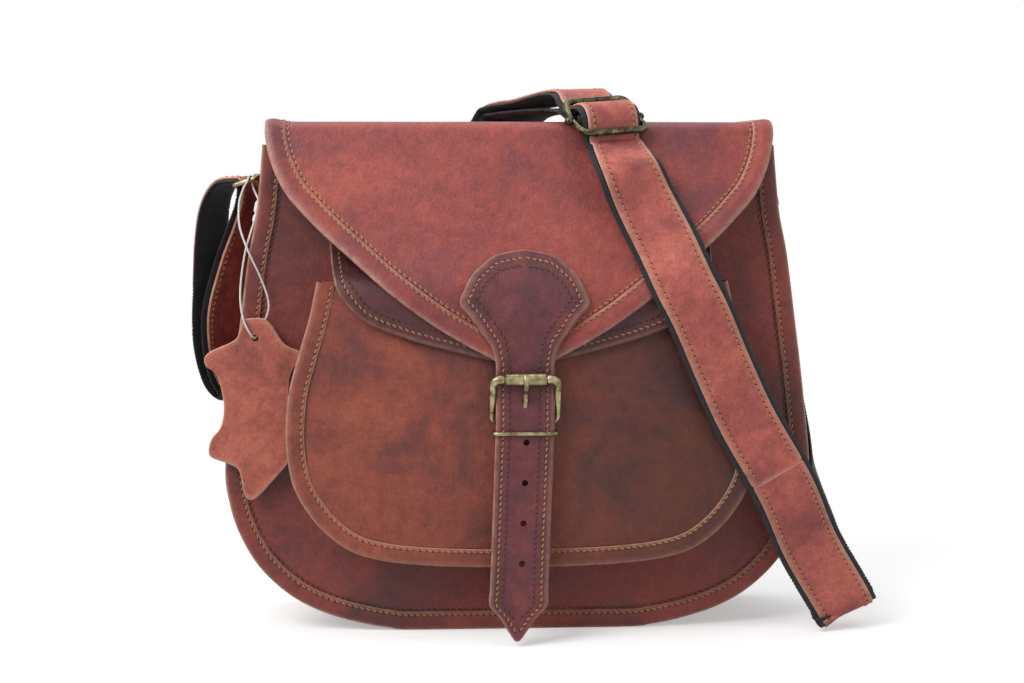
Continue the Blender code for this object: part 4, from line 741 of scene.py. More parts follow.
def rounded(points, radii):
    """A path with straight runs, each inner corner rounded by its radius."""
    points = np.array(points, float)
    made = [points[0]]
    for before, corner, after, radius in zip(points, points[1:], points[2:], radii):
        back, ahead = unit(before - corner), unit(after - corner)
        half = math.acos(np.clip(back @ ahead, -1, 1)) / 2
        centre = corner + unit(back + ahead) * radius / math.sin(half)
        start = corner + back * radius / math.tan(half)
        end = corner + ahead * radius / math.tan(half)
        for t in np.linspace(0, 1, 12):
            made.append(centre + unit(start + (end - start) * t - centre) * radius)
    made.append(points[-1])
    return np.array(made)


def shell(grid, thickness):
    """Points, faces, wear and facing of a closed sheet about a grid of middle points, its edge rounded."""
    rows, columns = grid.shape[:2]
    facing = unit(np.cross(np.gradient(grid, axis=1), np.gradient(grid, axis=0)))
    near, far = grid + facing * thickness / 2, grid - facing * thickness / 2
    loop = [(0, c) for c in range(columns)] + [(r, columns - 1) for r in range(1, rows)]
    loop += [(rows - 1, c) for c in range(columns - 2, -1, -1)] + [(r, 0) for r in range(rows - 2, 0, -1)]
    edge = np.array([grid[r, c] for r, c in loop])
    within = [grid[min(max(r, 1), rows - 2), min(max(c, 1), columns - 2)] for r, c in loop]
    side = edge - np.array(within)
    upright = np.array([facing[r, c] for r, c in loop])
    ahead = unit(np.roll(edge, -1, axis=0) - np.roll(edge, 1, axis=0))
    out = np.cross(ahead, upright)
    out = unit(out * np.sign(np.sum(out * side, axis=1, keepdims=True) + 1e-12))
    count = rows * columns
    middle = edge + out * thickness * 0.4
    verts = np.concatenate([near.reshape(-1, 3), far.reshape(-1, 3), middle])
    faces = []
    for r in range(rows - 1):
        for c in range(columns - 1):
            a = r * columns + c
            faces.append((a, a + 1, a + columns + 1, a + columns))
            faces.append((count + a, count + a + 1, count + a + columns + 1, count + a + columns))
    total = len(loop)
    numbers = [r * columns + c for r, c in loop]
    for k in range(total):
        j = (k + 1) % total
        faces.append((numbers[k], numbers[j], 2 * count + j, 2 * count + k))
        faces.append((count + numbers[k], count + numbers[j], 2 * count + j, 2 * count + k))
    rim = np.zeros(count)
    rim[numbers] = 0.45
    wear = np.concatenate([rim, rim, np.full(total, 1.0)])
    return verts, faces, wear, facing


def sheet(name, grid, thickness, look, body, slot, hides):
    """One object of hide: a closed sheet about a grid of middle points."""
    verts, faces, wear, _ = shell(grid, thickness)
    return piece(name, verts, faces, look, body, slot, hides, wear)


def ease_in(length, bend_end):
    """Share of a hide's unevenness that shows at this length: little on the bend, all of it 30 mm further."""
    return np.clip((length - bend_end) / 0.03, 0, 1) * 0.8 + 0.2


def hanging_grid(profile, edge, bend_end, shared, loose, bumps, size):
    """Middle points of a hide along a profile, its lower edge at (x, z), with its own soft unevenness."""
    top = np.linspace(0, bend_end, shared)
    grid = []
    for x, z in edge:
        lengths = np.concatenate([top, np.linspace(bend_end, profile.reach(z), loose)[1:]])
        lift = [wave((x, 0, length), size, bumps * ease_in(length, bend_end)) for length in lengths]
        line = profile.at(lengths, np.array(lift))
        grid.append(np.stack([np.full(len(line), x), line[:, 0], line[:, 1]], axis=1))
    return np.array(grid).transpose(1, 0, 2)


COVER_EASE = 0.0010
POCKET_FLAP, POCKET_FLAP_HALF_WIDTH = 0.0018, 0.0888
POCKET_FRONT = POCKET_RIM + POCKET_BULGE
POCKET_FLAP_BACK = POCKET_FRONT + COVER_EASE
POCKET_FLAP_SEAM, POCKET_FLAP_TIP = 0.197, 0.1315
POCKET_FLAP_START, POCKET_FLAP_KNEE = 0.194, 0.1665
POCKET_FLAP_EDGE_SHARES = [
    (0.0, 0.0), (0.13, 0.020), (0.40, 0.105), (0.643, 0.202), (0.823, 0.307), (0.925, 0.45), (0.965, 0.54),
    (0.985, 0.66), (1.0, 0.83),
]
start, face = HALF_DEPTH - BINDING + POCKET_FLAP / 2, POCKET_FLAP_BACK + POCKET_FLAP / 2
pocket_cover = Profile(rounded([(-start, POCKET_FLAP_SEAM), (-start, POCKET_FLAP_START),
                                (-face, POCKET_FLAP_KNEE), (-face, POCKET_FLAP_TIP)], (0.004, 0.012)))
outline = both_sides(POCKET_FLAP_EDGE_SHARES, POCKET_FLAP_HALF_WIDTH, POCKET_FLAP_SEAM - POCKET_FLAP_TIP,
                     POCKET_FLAP_TIP)
pocket_cover_edge = smooth_path(outline, 150)
cover_hide = leather("plum_flap_hide", "#5B2D31", "#402024", "#703A37", "#A87C6A", mottle=0.030)
bend = float(pocket_cover.reach(POCKET_FLAP_START - 0.006))
grid = hanging_grid(pocket_cover, pocket_cover_edge, bend, 12, 34, 0.0004, 0.03)
sheet("pocket_flap_hide", grid, POCKET_FLAP, cover_hide, "pocket_flap", "dark_leather", ["pocket_flap"])


def thread_row(name, surface, row, lift, body, dark=False):
    """Thread along a row of (x, length) on a hanging hide. surface(x, length, lift) is its (y, z)."""
    places, facing = [], []
    for x, length in row:
        below, above = surface(x, length, lift), surface(x, length, lift + 0.001)
        places.append((x, *below))
        facing.append((0, *(above - below)))
    stitches(name, places, facing, body, dark=dark)


flat = resample(np.array([(x, -pocket_cover.reach(z)) for x, z in pocket_cover_edge]), 400)
for number, inset in enumerate((0.0032, 0.0062)):
    thread_row(f"pocket_flap_thread_{number}", lambda x, length, lift: pocket_cover.at(length, lift),
               (flat + inward(flat) * inset) * (1, -1), POCKET_FLAP / 2, "pocket_flap", number == 1)

FLAP, FLAP_HALF_WIDTH = 0.0022, 0.1185
FLAP_TOP, FLAP_CORNER, FLAP_KNEE, FLAP_TIP = 0.2427, 0.2366, 0.165, 0.1286
FLAP_FRONT, FLAP_SEAM = 0.0402, 0.012
FLAP_BACK = POCKET_FLAP_BACK + POCKET_FLAP + COVER_EASE
FLAP_FACE = FLAP_BACK + FLAP
FLAP_EDGE_SHARES = [
    (0.0, 0.0), (0.080, 0.030), (0.169, 0.080), (0.262, 0.136), (0.371, 0.212), (0.506, 0.322),
    (0.590, 0.400), (0.675, 0.484), (0.776, 0.582), (0.852, 0.666), (0.915, 0.745), (0.962, 0.842),
    (0.987, 0.925), (1.0, 1.0),
]
fold, top, face = HALF_DEPTH - BINDING - GAP - PANEL / 2, FLAP_TOP - FLAP / 2, FLAP_BACK + FLAP / 2
cover = Profile(rounded([(fold, PANEL_TOP + GAP + FLAP / 2), (fold, top), (-FLAP_FRONT, top),
                         (-face, FLAP_KNEE), (-face, FLAP_TIP)], (0.0021, 0.0060, 0.035)))
outline = both_sides(FLAP_EDGE_SHARES, FLAP_HALF_WIDTH, FLAP_CORNER - FLAP_TIP, FLAP_TIP)
cover_edge = smooth_path(outline, 190)
# Painted shade: the flap darkens a little towards the right, to 0.95 of its colour.
flap_hide = leather("rosy_brown_flap_hide", "#A14A44", "#743A42", "#B6594B", "#D6A494", mottle=0.055,
                    shadow_fade=(0.0, 0.11, 0.95))
FLAP_BUMPS, FLAP_BUMP_SIZE = 0.0007, 0.045
flap_bend = float(cover.reach(FLAP_CORNER + 0.0004))
grid = hanging_grid(cover, cover_edge, flap_bend, 64, 64, FLAP_BUMPS, FLAP_BUMP_SIZE)
sheet("main_flap_hide", grid, FLAP, flap_hide, "flap", "body_leather", ["main_flap"])


def on_flap(x, length, lift):
    """A point (y, z) of the flap at this length, raised by lift over its soft unevenness."""
    uneven = wave((x, 0, length), FLAP_BUMP_SIZE, FLAP_BUMPS) * ease_in(length, flap_bend)
    return cover.at(length, lift + uneven)


# The border is a strip of the same hide turned over the flap's edge: a soft ridge with a cut inner edge.
edge = np.array([(x, cover.reach(z)) for x, z in cover_edge])
bends = [length for length in np.linspace(FLAP_SEAM, edge[0][1], 60) if length < edge[0][1] - 0.0005]
left = np.array([(-FLAP_HALF_WIDTH, length) for length in bends])
border_route = resample(np.concatenate([left, edge, left[::-1] * (-1, 1)]), 620)
flat = border_route * (1, -1)
normals = inward(flat) * (1, -1)
low = FLAP / 2 + 0.0001
section = [
    (-0.0006, -FLAP / 2), (-0.0009, 0.0), (-0.0008, low), (-0.0002, low + 0.0008), (0.0010, low + 0.0012),
    (0.0028, low + 0.0014), (0.0046, low + 0.0012), (0.0062, low + 0.0008), (0.0074, low + 0.0006),
    (0.0082, low + 0.0007), (0.0087, low + 0.0003), (0.0087, low - 0.0004), (0.0050, low - 0.0003),
    (0.0004, low - 0.0003), (0.0002, -FLAP / 2),
]
wear = [1.0, 1.0, 1.0, 0.75, 0.15, 0.0, 0.0, 0.0, 0.0, 0.3, 1.0, 0.8, 0, 0, 0]
rings = []
for point, normal in zip(border_route, normals):
    corners = [(*(point + normal * inset), lift) for inset, lift in section]
    rings.append([(x, *on_flap(x, length, lift)) for x, length, lift in corners])
verts, faces = loft(rings)
piece("flap_border_hide", verts, faces, flap_hide, "flap", "body_leather", ["flap_border"],
      np.tile(wear, len(border_route)))

for name, inset, lift in (("outer", 0.0075, low + 0.0006), ("inner", 0.0101, FLAP / 2)):
    thread_row(f"flap_{name}_thread", on_flap, (flat + inward(flat) * inset) * (1, -1), lift, "flap")


# Closure strap. A fan-shaped patch sewn on the flap runs down as a 25 mm billet, backed with thinner hide,
# through the buckle. It is a darker hide with a cut edge, two rows of thread and four punched holes.

STRAP, STRAP_BACKING = 0.0020, 0.0010
STRAP_BUMPS, STRAP_BUMP_SIZE = 0.00025, 0.02
BILLET_HALF_WIDTH, FAN_HALF_WIDTH = 0.0127, 0.029
FAN_TOP, FAN_BOTTOM = 0.1829, 0.132
BILLET_END, BILLET_POINT, BILLET_LEAN = 0.0034, 0.0165, 0.0036
BACKING_TOP, BACKING_END = 0.1265, 0.0075
HOLE_PITCH, HOLE_RADIUS, HOLE_COUNT, HOLE_OFFSET = 0.0188, 0.0015, 4, 0.0008
PRONG_HOLE = 0.1145
HEEL_RADIUS, ROLLER_RADIUS, CHAPE = 0.0016, 0.0030, 0.0016
HEEL_HEIGHT, ROLLER_HEIGHT, CHAPE_BOTTOM = 0.1045, 0.1250, 0.074
KEEPER_DROP = 0.0045
STRAP_BACK = FLAP_FACE + BORDER + 2 * GAP
ROLLER_DEPTH = STRAP_BACK + STRAP + GAP + ROLLER_RADIUS
HEEL_DEPTH = POCKET_FRONT + 2 * GAP + CHAPE + HEEL_RADIUS
CHAPE_FACE = HEEL_DEPTH + HEEL_RADIUS + GAP + CHAPE
HEEL_STRAP = CHAPE_FACE + STRAP_BACKING + 2 * GAP + STRAP / 2
FAN_SHARES = [
    (0.0, 0.04), (0.028, 0.31), (0.061, 0.50), (0.135, 0.66), (0.224, 0.82), (0.352, 0.94), (0.462, 1.0),
    (0.56, 0.86), (0.70, 0.68), (0.86, 0.50), (1.0, 0.44),
]
POINT_SHARES = [(0.35, 0.62), (0.7, 0.32), (0.93, 0.12), (1.0, 0.04)]

patch_hide = leather("plum_strap_hide", "#6F363C", "#4B272C", "#864240", "#BC8C78", mottle=0.022)

flat, tall = FLAP / 2 + GAP + STRAP / 2, FAN_TOP - FAN_BOTTOM
line = []
for share in (0, 0.2, 0.38, 0.6, 0.8, 1.0):
    lift = flat if share < 0.5 else flat + BORDER + 2 * GAP
    line.append(cover.at(cover.reach(FAN_TOP - share * tall), lift))
neck = STRAP_BACK + STRAP / 2
behind = (neck + HEEL_STRAP) / 2
line += [
    (-neck, ROLLER_HEIGHT), (-behind, (ROLLER_HEIGHT + HEEL_HEIGHT) / 2), (-HEEL_STRAP, HEEL_HEIGHT),
    (-HEEL_STRAP, HEEL_HEIGHT - 2 * KEEPER_DROP), (-behind, CHAPE_BOTTOM), (-neck, BILLET_END),
]
closure = smooth_path(line, 300)


def closure_at(x, height):
    """Middle of the closure strap's hide at this height. The billet leans a little to the left."""
    y = np.interp(-height, -closure[:, 1], closure[:, 0])
    lean = BILLET_LEAN * max(0.0, (HEEL_HEIGHT - height) / (HEEL_HEIGHT - BILLET_END))
    return (x - lean, y + wave((x, 0, height), STRAP_BUMP_SIZE, STRAP_BUMPS), height)


rows = [(FAN_TOP - share * tall, FAN_HALF_WIDTH * wide) for share, wide in FAN_SHARES]
rows += [(z, BILLET_HALF_WIDTH) for z in np.linspace(FAN_BOTTOM, BILLET_END + BILLET_POINT, 16)[1:]]
rows += [(BILLET_END + BILLET_POINT * (1 - share), BILLET_HALF_WIDTH * wide) for share, wide in POINT_SHARES]
side = smooth_path([(wide, z) for z, wide in rows], 330)
grid = np.array([[closure_at(wide * u, z) for u in np.linspace(-1, 1, 17)] for wide, z in side])
strap = sheet("closure_strap_hide", grid, STRAP, patch_hide, "flap", "dark_leather", ["closure_strap"])
places = [closure_at(HOLE_OFFSET, PRONG_HOLE - HOLE_PITCH * (k + 1)) for k in range(HOLE_COUNT)]
places.append(closure_at(0, PRONG_HOLE + 0.0006))
punch(strap, places, HOLE_RADIUS, 6 * STRAP)

rows = [(z, BILLET_HALF_WIDTH - GAP) for z in np.linspace(BACKING_TOP, BACKING_END + BILLET_POINT, 60)]
rows += [(BACKING_END + BILLET_POINT * (1 - s), (BILLET_HALF_WIDTH - GAP) * w) for s, w in POINT_SHARES]
under = (STRAP + STRAP_BACKING) / 2 + GAP / 2
grid = np.array([[np.array(closure_at(wide * u, z)) + (0, under, 0) for u in np.linspace(-1, 1, 9)]
                 for z, wide in rows])
backing = sheet("closure_backing_hide", grid, STRAP_BACKING, edge_hide, "flap", "body_leather",
                ["closure_strap_backing"])
punch(backing, [np.array(place) + (0, under, 0) for place in places], HOLE_RADIUS, 6 * STRAP)


def facing_of(points):
    """Outward directions of points on the closure strap, which turns only about X."""
    low, high = points[:, 2] - 0.0005, points[:, 2] + 0.0005
    way = np.stack([np.interp(-low, -closure[:, 1], closure[:, 0]) -
                    np.interp(-high, -closure[:, 1], closure[:, 0]), np.full(len(points), -0.001)], axis=1)
    return unit(np.stack([np.zeros(len(points)), way[:, 1], -way[:, 0]], axis=1))


FAN_THREAD_END, BILLET_THREAD_START = 0.1400, 0.1315
fan_side = side[side[:, 1] > FAN_THREAD_END - 0.0005]
billet_side = side[side[:, 1] <= BILLET_THREAD_START]
for name, inset, billet_inset in (("outer", 0.0033, 0.0026), ("inner", 0.0068, 0.0058)):
    shift = fan_side + inward(fan_side * (-1, 1)) * (-1, 1) * inset
    shift = shift[(shift[:, 0] > 0.0004) & (shift[:, 1] > FAN_THREAD_END)]
    run = billet_side.copy()
    run[:, 0] = np.maximum(run[:, 0] - billet_inset, 0)
    run = run[(run[:, 0] > 0.0004) & (run[:, 1] > BILLET_END + 0.5 * billet_inset)]
    for hand, sign in (("left", -1), ("right", 1)):
        path = resample(np.concatenate([shift, run]), 500)
        centres = np.array([closure_at(sign * x, z) for x, z in path])
        out = facing_of(centres)
        stitches(f"closure_{name}_{hand}_thread", centres + out * (STRAP / 2 - 0.00002), out, "flap",
                 pitch=0.0028, reach=0.0020, dark=name == "inner")


# Buckle. A cast roller buckle in antique brass on a leather loop: frame, roller, prong, and a wire keeper
# for the billet's end.

def metal(name, base, dark, light, roughness):
    """Antique plated metal: darker and brighter in clouds of 4 mm, with a soft sheen from fine brushing.

    The brushed lines are 0.25 mm apart, drawn coarser than real so that they show.
    """
    made, tree = blank(name)
    coords = node(tree, "ShaderNodeTexCoord").outputs["Object"]
    clouds = node(tree, "ShaderNodeTexNoise", Vector=coords, Scale=260.0, Detail=5.0, Roughness=0.6)
    aged = node(tree, "ShaderNodeValToRGB", Fac=clouds.outputs["Fac"])
    shade_ramp(aged.color_ramp, (0.30, dark), (0.72, light), (0.5, base))
    scratch = node(tree, "ShaderNodeMapping", Vector=coords, Rotation=(0.3, 0.2, 0.4), Scale=(4000, 600, 600))
    brushed = node(tree, "ShaderNodeTexNoise", Vector=scratch.outputs[0], Scale=1.0, Detail=2.0)
    shine = node(tree, "ShaderNodeMapRange", Value=clouds.outputs["Fac"], From_Min=0.3, From_Max=0.7,
                 To_Min=roughness + 0.08, To_Max=roughness - 0.06)
    dent = node(tree, "ShaderNodeBump", Strength=0.12, Distance=0.0001, Height=brushed.outputs["Fac"])
    surface = node(tree, "ShaderNodeBsdfPrincipled", Base_Color=aged.outputs[0], Metallic=1.0,
                   Roughness=shine.outputs[0], Normal=dent.outputs[0])
    node(tree, "ShaderNodeOutputMaterial", Surface=surface.outputs[0])
    return made


brass = metal("antique_brass", "#8C8162", "#4E4738", "#B7AC8A", 0.34)


def arc(centre, radius, start, end, steps):
    """Points of a plane arc, its angles in degrees."""
    angles = np.radians(np.linspace(start, end, steps))
    return [(centre[0] + radius * math.cos(a), centre[1] + radius * math.sin(a)) for a in angles]


def in_plane(points, origin, first, second):
    """Plane points laid out in space along two directions."""
    points = np.array(points, float)
    return np.array(origin) + points[:, :1] * np.array(first) + points[:, 1:] * np.array(second)


def band(centres, across, half_widths, lift=0.0, columns=9):
    """Middle points of a flat band along its centre line, `across` its width direction at each point."""
    centres = np.array(centres, float)
    across = np.broadcast_to(np.array(across, float), centres.shape)
    facing = unit(np.cross(tangents(centres), across))
    halves = np.broadcast_to(np.array(half_widths, float), len(centres))[:, None]
    grid = []
    for u in np.linspace(-1, 1, columns):
        grid.append(centres + across * halves * u + facing * lift)
    return np.array(grid).transpose(1, 0, 2)


CHAPE_HALF_WIDTH, CHAPE_HOLE_RADIUS = 0.0120, 0.0030
heel, roller = np.array((0.0, -HEEL_DEPTH, HEEL_HEIGHT)), np.array((0.0, -ROLLER_DEPTH, ROLLER_HEIGHT))
loop = HEEL_RADIUS + GAP + CHAPE / 2
back = HEEL_DEPTH - loop
sewn, low = back + CHAPE + GAP, HEEL_HEIGHT - KEEPER_DROP - 0.0030
line = [(back, CHAPE_BOTTOM), (back, low), *arc((HEEL_DEPTH, HEEL_HEIGHT), loop, 180, 0, 15)]
line += [(HEEL_DEPTH + loop, low), (sewn, low - 4 * CHAPE), (sewn, CHAPE_BOTTOM)]
fine = []
for a, b in zip(line, line[1:]):
    fine += [tuple(np.array(a) + (np.array(b) - a) * t) for t in np.linspace(0, 1, 6, endpoint=False)]
fine.append(line[-1])
grid = band([(0, -depth, z) for depth, z in fine], (1, 0, 0), CHAPE_HALF_WIDTH)
chape = sheet("buckle_chape_hide", grid, CHAPE, patch_hide, "bag", "dark_leather", ["buckle_chape"])
punch(chape, [heel], CHAPE_HOLE_RADIUS, 0.03)

FRAME_SIDE, FRAME_CORNER, END_BAR = 0.0017, 0.0022, 0.0014
ROLLER_LENGTH, FRAME_HALF_WIDTH, FRAME_BEND = 0.0188, 0.0150, 0.0034
rise = roller - heel
length = np.linalg.norm(rise)
wide, bend_by, shoulder = FRAME_HALF_WIDTH, FRAME_BEND, ROLLER_LENGTH / 2 + GAP
right = [((x, v), FRAME_SIDE) for x, v in arc((wide - bend_by, bend_by), bend_by, -90, 0, 12)]
right += [((wide, bend_by + (length - 2 * bend_by) * k / 6), FRAME_SIDE) for k in range(1, 6)]
turn = arc((wide - bend_by, length - bend_by), bend_by, 0, 90, 12)
right += [(place, FRAME_SIDE + (FRAME_CORNER - FRAME_SIDE) * min(1, (k + 1) / 5))
          for k, place in enumerate(turn)]
right += [((shoulder + 0.0006, length), FRAME_CORNER), ((shoulder + 0.0002, length), FRAME_CORNER * 0.92)]
right += [((shoulder, length), END_BAR)]
left = [((-x, v), radius) for (x, v), radius in reversed(right)]
rows = [((0, 0), HEEL_RADIUS), ((shoulder, 0), HEEL_RADIUS), *right, *left, ((-shoulder, 0), HEEL_RADIUS)]
centres = in_plane([place for place, _ in rows], heel, (1, 0, 0), rise / length)
verts, faces = rod(centres, [radius for _, radius in rows], np.cross((1, 0, 0), rise), 24, True)
piece("buckle_frame_cast", verts, faces, brass, "buckle_frame", "brass", ["buckle_frame"])

half = ROLLER_LENGTH / 2
ROLLER_BORE, ROLLER_EDGE = 0.0017, 0.0004
shape = [(-half, ROLLER_BORE), (-half, ROLLER_RADIUS - ROLLER_EDGE), (ROLLER_EDGE - half, ROLLER_RADIUS)]
shape += [(-x, radius) for x, radius in reversed(shape)]
rings = []
for k in range(36):
    a = 2 * math.pi * k / 36
    out = np.array((0, math.cos(a), math.sin(a)))
    rings.append([roller + np.array((x, 0, 0)) + out * r for x, r in shape])
verts, faces = loft(rings, True)
piece("buckle_roller_tube", verts, faces, brass, "buckle_roller", "brass", ["buckle_roller"])

PRONG_RADIUS, PRONG_RING = 0.0012, 0.0012
PRONG_SHARES = [(0.215, 0.073), (0.41, 0.366), (0.68, 0.683), (0.948, 0.849), (1.0, 1.0), (0.97, 1.107)]
ring = HEEL_RADIUS + GAP + PRONG_RING / 2
turn = [(-y, z) for y, z in arc((HEEL_DEPTH, HEEL_HEIGHT), ring, 75, 350, 30)]
front = ROLLER_DEPTH + ROLLER_RADIUS + GAP + PRONG_RADIUS
shank = [(-HEEL_DEPTH - (front - HEEL_DEPTH) * forward, HEEL_HEIGHT + (ROLLER_HEIGHT - HEEL_HEIGHT) * up)
         for forward, up in PRONG_SHARES]
shank = [tuple(p) for p in smooth_path([turn[-1], *shank], 40)[1:]]
centres = np.array([(0, y, z) for y, z in turn + shank])
shank_thick = np.interp(np.arange(39), (0, 6, 34, 38), (0.0006, 0.0012, 0.0012, 0.0006))
thick = np.concatenate([[PRONG_RING / 2] * len(turn), shank_thick])
facing = unit(np.cross(tangents(centres), (1.0, 0, 0)))
across = np.tile((1.0, 0, 0), (len(centres), 1))
rings = []
for k in range(16):
    a = 2 * math.pi * (k + 0.5) / 16
    wide, deep = [math.copysign(abs(v) ** 0.7, v) for v in (math.cos(a), math.sin(a))]
    rings.append(centres + across * PRONG_RADIUS * wide + facing * thick[:, None] * deep)
verts, faces = loft(np.stack(rings, axis=1))
piece("buckle_prong_cast", verts, faces, brass, "buckle_prong", "brass", ["buckle_prong"])

KEEPER_RADIUS, KEEPER_HALF_WIDTH = 0.0010, 0.0145
front = HEEL_STRAP + STRAP / 2 + GAP + KEEPER_RADIUS
wide, bend_by = KEEPER_HALF_WIDTH, 2 * KEEPER_RADIUS
corners = arc((wide - bend_by, -HEEL_DEPTH - bend_by), bend_by, 90, 0, 10)
corners += arc((wide - bend_by, -front + bend_by), bend_by, 0, -90, 10)
loop_line = corners + [(-x, y) for x, y in reversed(corners)]
centres = in_plane(loop_line, (0, 0, HEEL_HEIGHT - KEEPER_DROP), (1, 0, 0), (0, 1, 0))
verts, faces = rod(centres, KEEPER_RADIUS, (0, 0, 1), 16, True)
piece("strap_keeper_wire", verts, faces, brass, "strap_keeper", "brass", ["strap_keeper"])


# Strap fittings. At each side a folded hide tab, sewn on the gusset, holds a rectangular ring of bent brass
# wire that carries the shoulder strap.

RING_RADIUS, RING_LENGTH, RING_EASE, RING_BEND = 0.0012, 0.0130, 0.0005, 0.0022
RING_YAWS = {-1: math.radians(14), 1: 0}
RING_TILTS = {-1: math.radians(19), 1: math.radians(62)}
RING_STANDS = {-1: 0.0080, 1: 0.0062}
RING_MIDDLE = 0.0015
TAB, TAB_HALF_WIDTH, TAB_DROP, TAB_RETURN_SHARE = 0.0016, 0.0130, 0.0320, 0.8
WEBBING_HALF_WIDTH, WEBBING = 0.0150, 0.0016


def wall_at(height):
    """How far the gusset's wall stands from the middle plane at this height."""
    right = lip[len(lip) // 2:]
    return np.interp(height, right[:, 1], right[:, 0]) - GUSSET_INSET


def ring_frame(side):
    """Middle of the ring's inner and outer bars, the bars' direction and the way out from the body."""
    yaw, tilt = RING_YAWS[side], RING_TILTS[side]
    bar_way = np.array((-side * math.sin(yaw), math.cos(yaw), 0))
    out = np.array((side * math.cos(yaw), math.sin(yaw), 0))
    inner = np.array((side * (wall_at(RING_HEIGHT) + RING_STANDS[side]), RING_MIDDLE, RING_HEIGHT))
    outer = inner + RING_LENGTH * (out * math.cos(tilt) - np.array((0, 0, math.sin(tilt))))
    return inner, outer, bar_way, out


def round_bar(centre, out, radius, start, end, count):
    """Points round a bar, their angles in degrees from the way out, counted up."""
    turns = np.radians(np.linspace(start, end, count))
    return [centre + radius * (out * math.cos(a) + np.array((0, 0, math.sin(a)))) for a in turns]


def on_wall(side, rows):
    """Tab rows given as (drop below the ring, stand off the wall, width direction), placed at this side."""
    made = []
    for drop, stand, across in rows:
        height = RING_HEIGHT - drop
        x = side * (wall_at(height) + GAP + TAB / 2 + stand)
        made.append((np.array((x, RING_MIDDLE, height)), across))
    return made


for name, side in (("left_ring", -1), ("right_ring", 1)):
    inner, outer, bar_way, out = ring_frame(side)
    wide, bend_by = WEBBING_HALF_WIDTH + RING_EASE + RING_RADIUS, RING_BEND
    corners = arc((wide - bend_by, bend_by), bend_by, -90, 0, 10)
    corners += arc((wide - bend_by, RING_LENGTH - bend_by), bend_by, 0, 90, 10)
    loop_line = corners + [(-x, v) for x, v in reversed(corners)]
    away = (outer - inner) / RING_LENGTH
    centres = in_plane(loop_line, inner, bar_way, away)
    verts, faces = rod(centres, RING_RADIUS, np.cross(bar_way, away), 18, True)
    piece(name + "_wire", verts, faces, brass, name, "brass", [name])

    level, loop = np.array((0, 1, 0)), RING_RADIUS + GAP + TAB / 2
    turn, back = bar_way + level, max(TAB_RETURN_SHARE * RING_STANDS[side], TAB + 2 * GAP)
    rows = on_wall(side, ((TAB_DROP, 0, level), (TAB_DROP / 2, 0, level), (TAB_DROP / 5, TAB, turn)))
    rows += [(place, bar_way) for place in round_bar(inner, out, loop, 180, 0, 13)]
    rows += on_wall(side, ((TAB_DROP / 4, back, turn), (TAB_DROP / 2, TAB + GAP, level),
                           (TAB_DROP, TAB + GAP, level)))
    fine = smooth_path([(*place, *unit(np.array(across, float))) for place, across in rows], 110)
    grid = band(fine[:, :3], unit(fine[:, 3:]), TAB_HALF_WIDTH)
    verts, faces, wear, facing = shell(grid, TAB)
    piece(name + "_tab_hide", verts, faces, edge_hide, "bag", "body_leather", [name + "_tab"], wear)
    for column, mark in ((1, "near"), (-2, "far")):
        flip = 1 if (facing[-4, column] @ np.array((side, 0, 0))) > 0 else -1
        outer_face = grid[:, column] + facing[:, column] * flip * TAB / 2
        sewn = slice(80, 110)
        stitches(f"{name}_tab_{mark}_thread", outer_face[sewn], facing[sewn, column] * flip, "bag")


# Shoulder strap. Ribbed black webbing, 30 mm wide, faced with tan hide, runs from the right ring down beside
# the bag, up over the front, through the slider, over the top, round the left ring and back to the slider's
# middle bar, where its end is sewn. It is drawn in lengths.

STRAP_LEATHER_HALF_WIDTH, STRAP_LEATHER = 0.0128, 0.0014
SLIDER_PLACE = np.array((0.278 * HALF_WIDTH, -1.25 * HALF_DEPTH, 1.051 * HEIGHT))
SLIDER_WAY, SLIDER_ACROSS = (0.36, -0.69, -0.62), (0.86, 0.40, 0.08)
SLIDER_RADIUS, SLIDER_HALF_LENGTH, SLIDER_ARCH = 0.0014, 0.0118, 0.0020
SLIDER_BEND, SLIDER_EASE = 0.0030, 0.0006
RIGHT_SIDE_SHARES = [
    (0.905, 0.05, 0.830, 0, 1, 0), (0.912, 0.05, 0.775, 0, 1, 0), (0.930, 0.03, 0.700, 0, 1, 0),
    (0.960, -0.03, 0.600, 0, 1, 0), (0.996, -0.12, 0.483, 0.02, 1, 0.03),
    (1.036, -0.38, 0.353, 0.12, 0.98, 0.1),
    (1.060, -0.72, 0.233, 0.43, 0.89, 0.15), (1.071, -1.03, 0.134, 0.75, 0.6, 0.28),
    (1.100, -1.23, 0.062, 0.92, 0.1, 0.37), (1.107, -1.31, 0.047, 0.93, 0, 0.367),
    (1.100, -1.39, 0.060, 0.92, 0, 0.38),
]
FRONT_RUN_SHARES = [
    (0.977, -1.50, 0.184, 0.91, 0, 0.42), (0.876, -1.80, 0.309, 0.91, 0, 0.42),
    (0.745, -1.90, 0.443, 0.91, 0, 0.42), (0.661, -1.97, 0.547, 0.91, 0, 0.42),
    (0.576, -2.07, 0.661, 0.9, 0, 0.43), (0.521, -2.09, 0.724, 0.89, 0, 0.46),
    (0.464, -1.96, 0.802, 0.87, 0, 0.49), (0.394, -1.83, 0.886, 0.87, 0.12, 0.38),
    (0.345, -1.84, 0.950, 0.87, 0.26, 0.24),
]
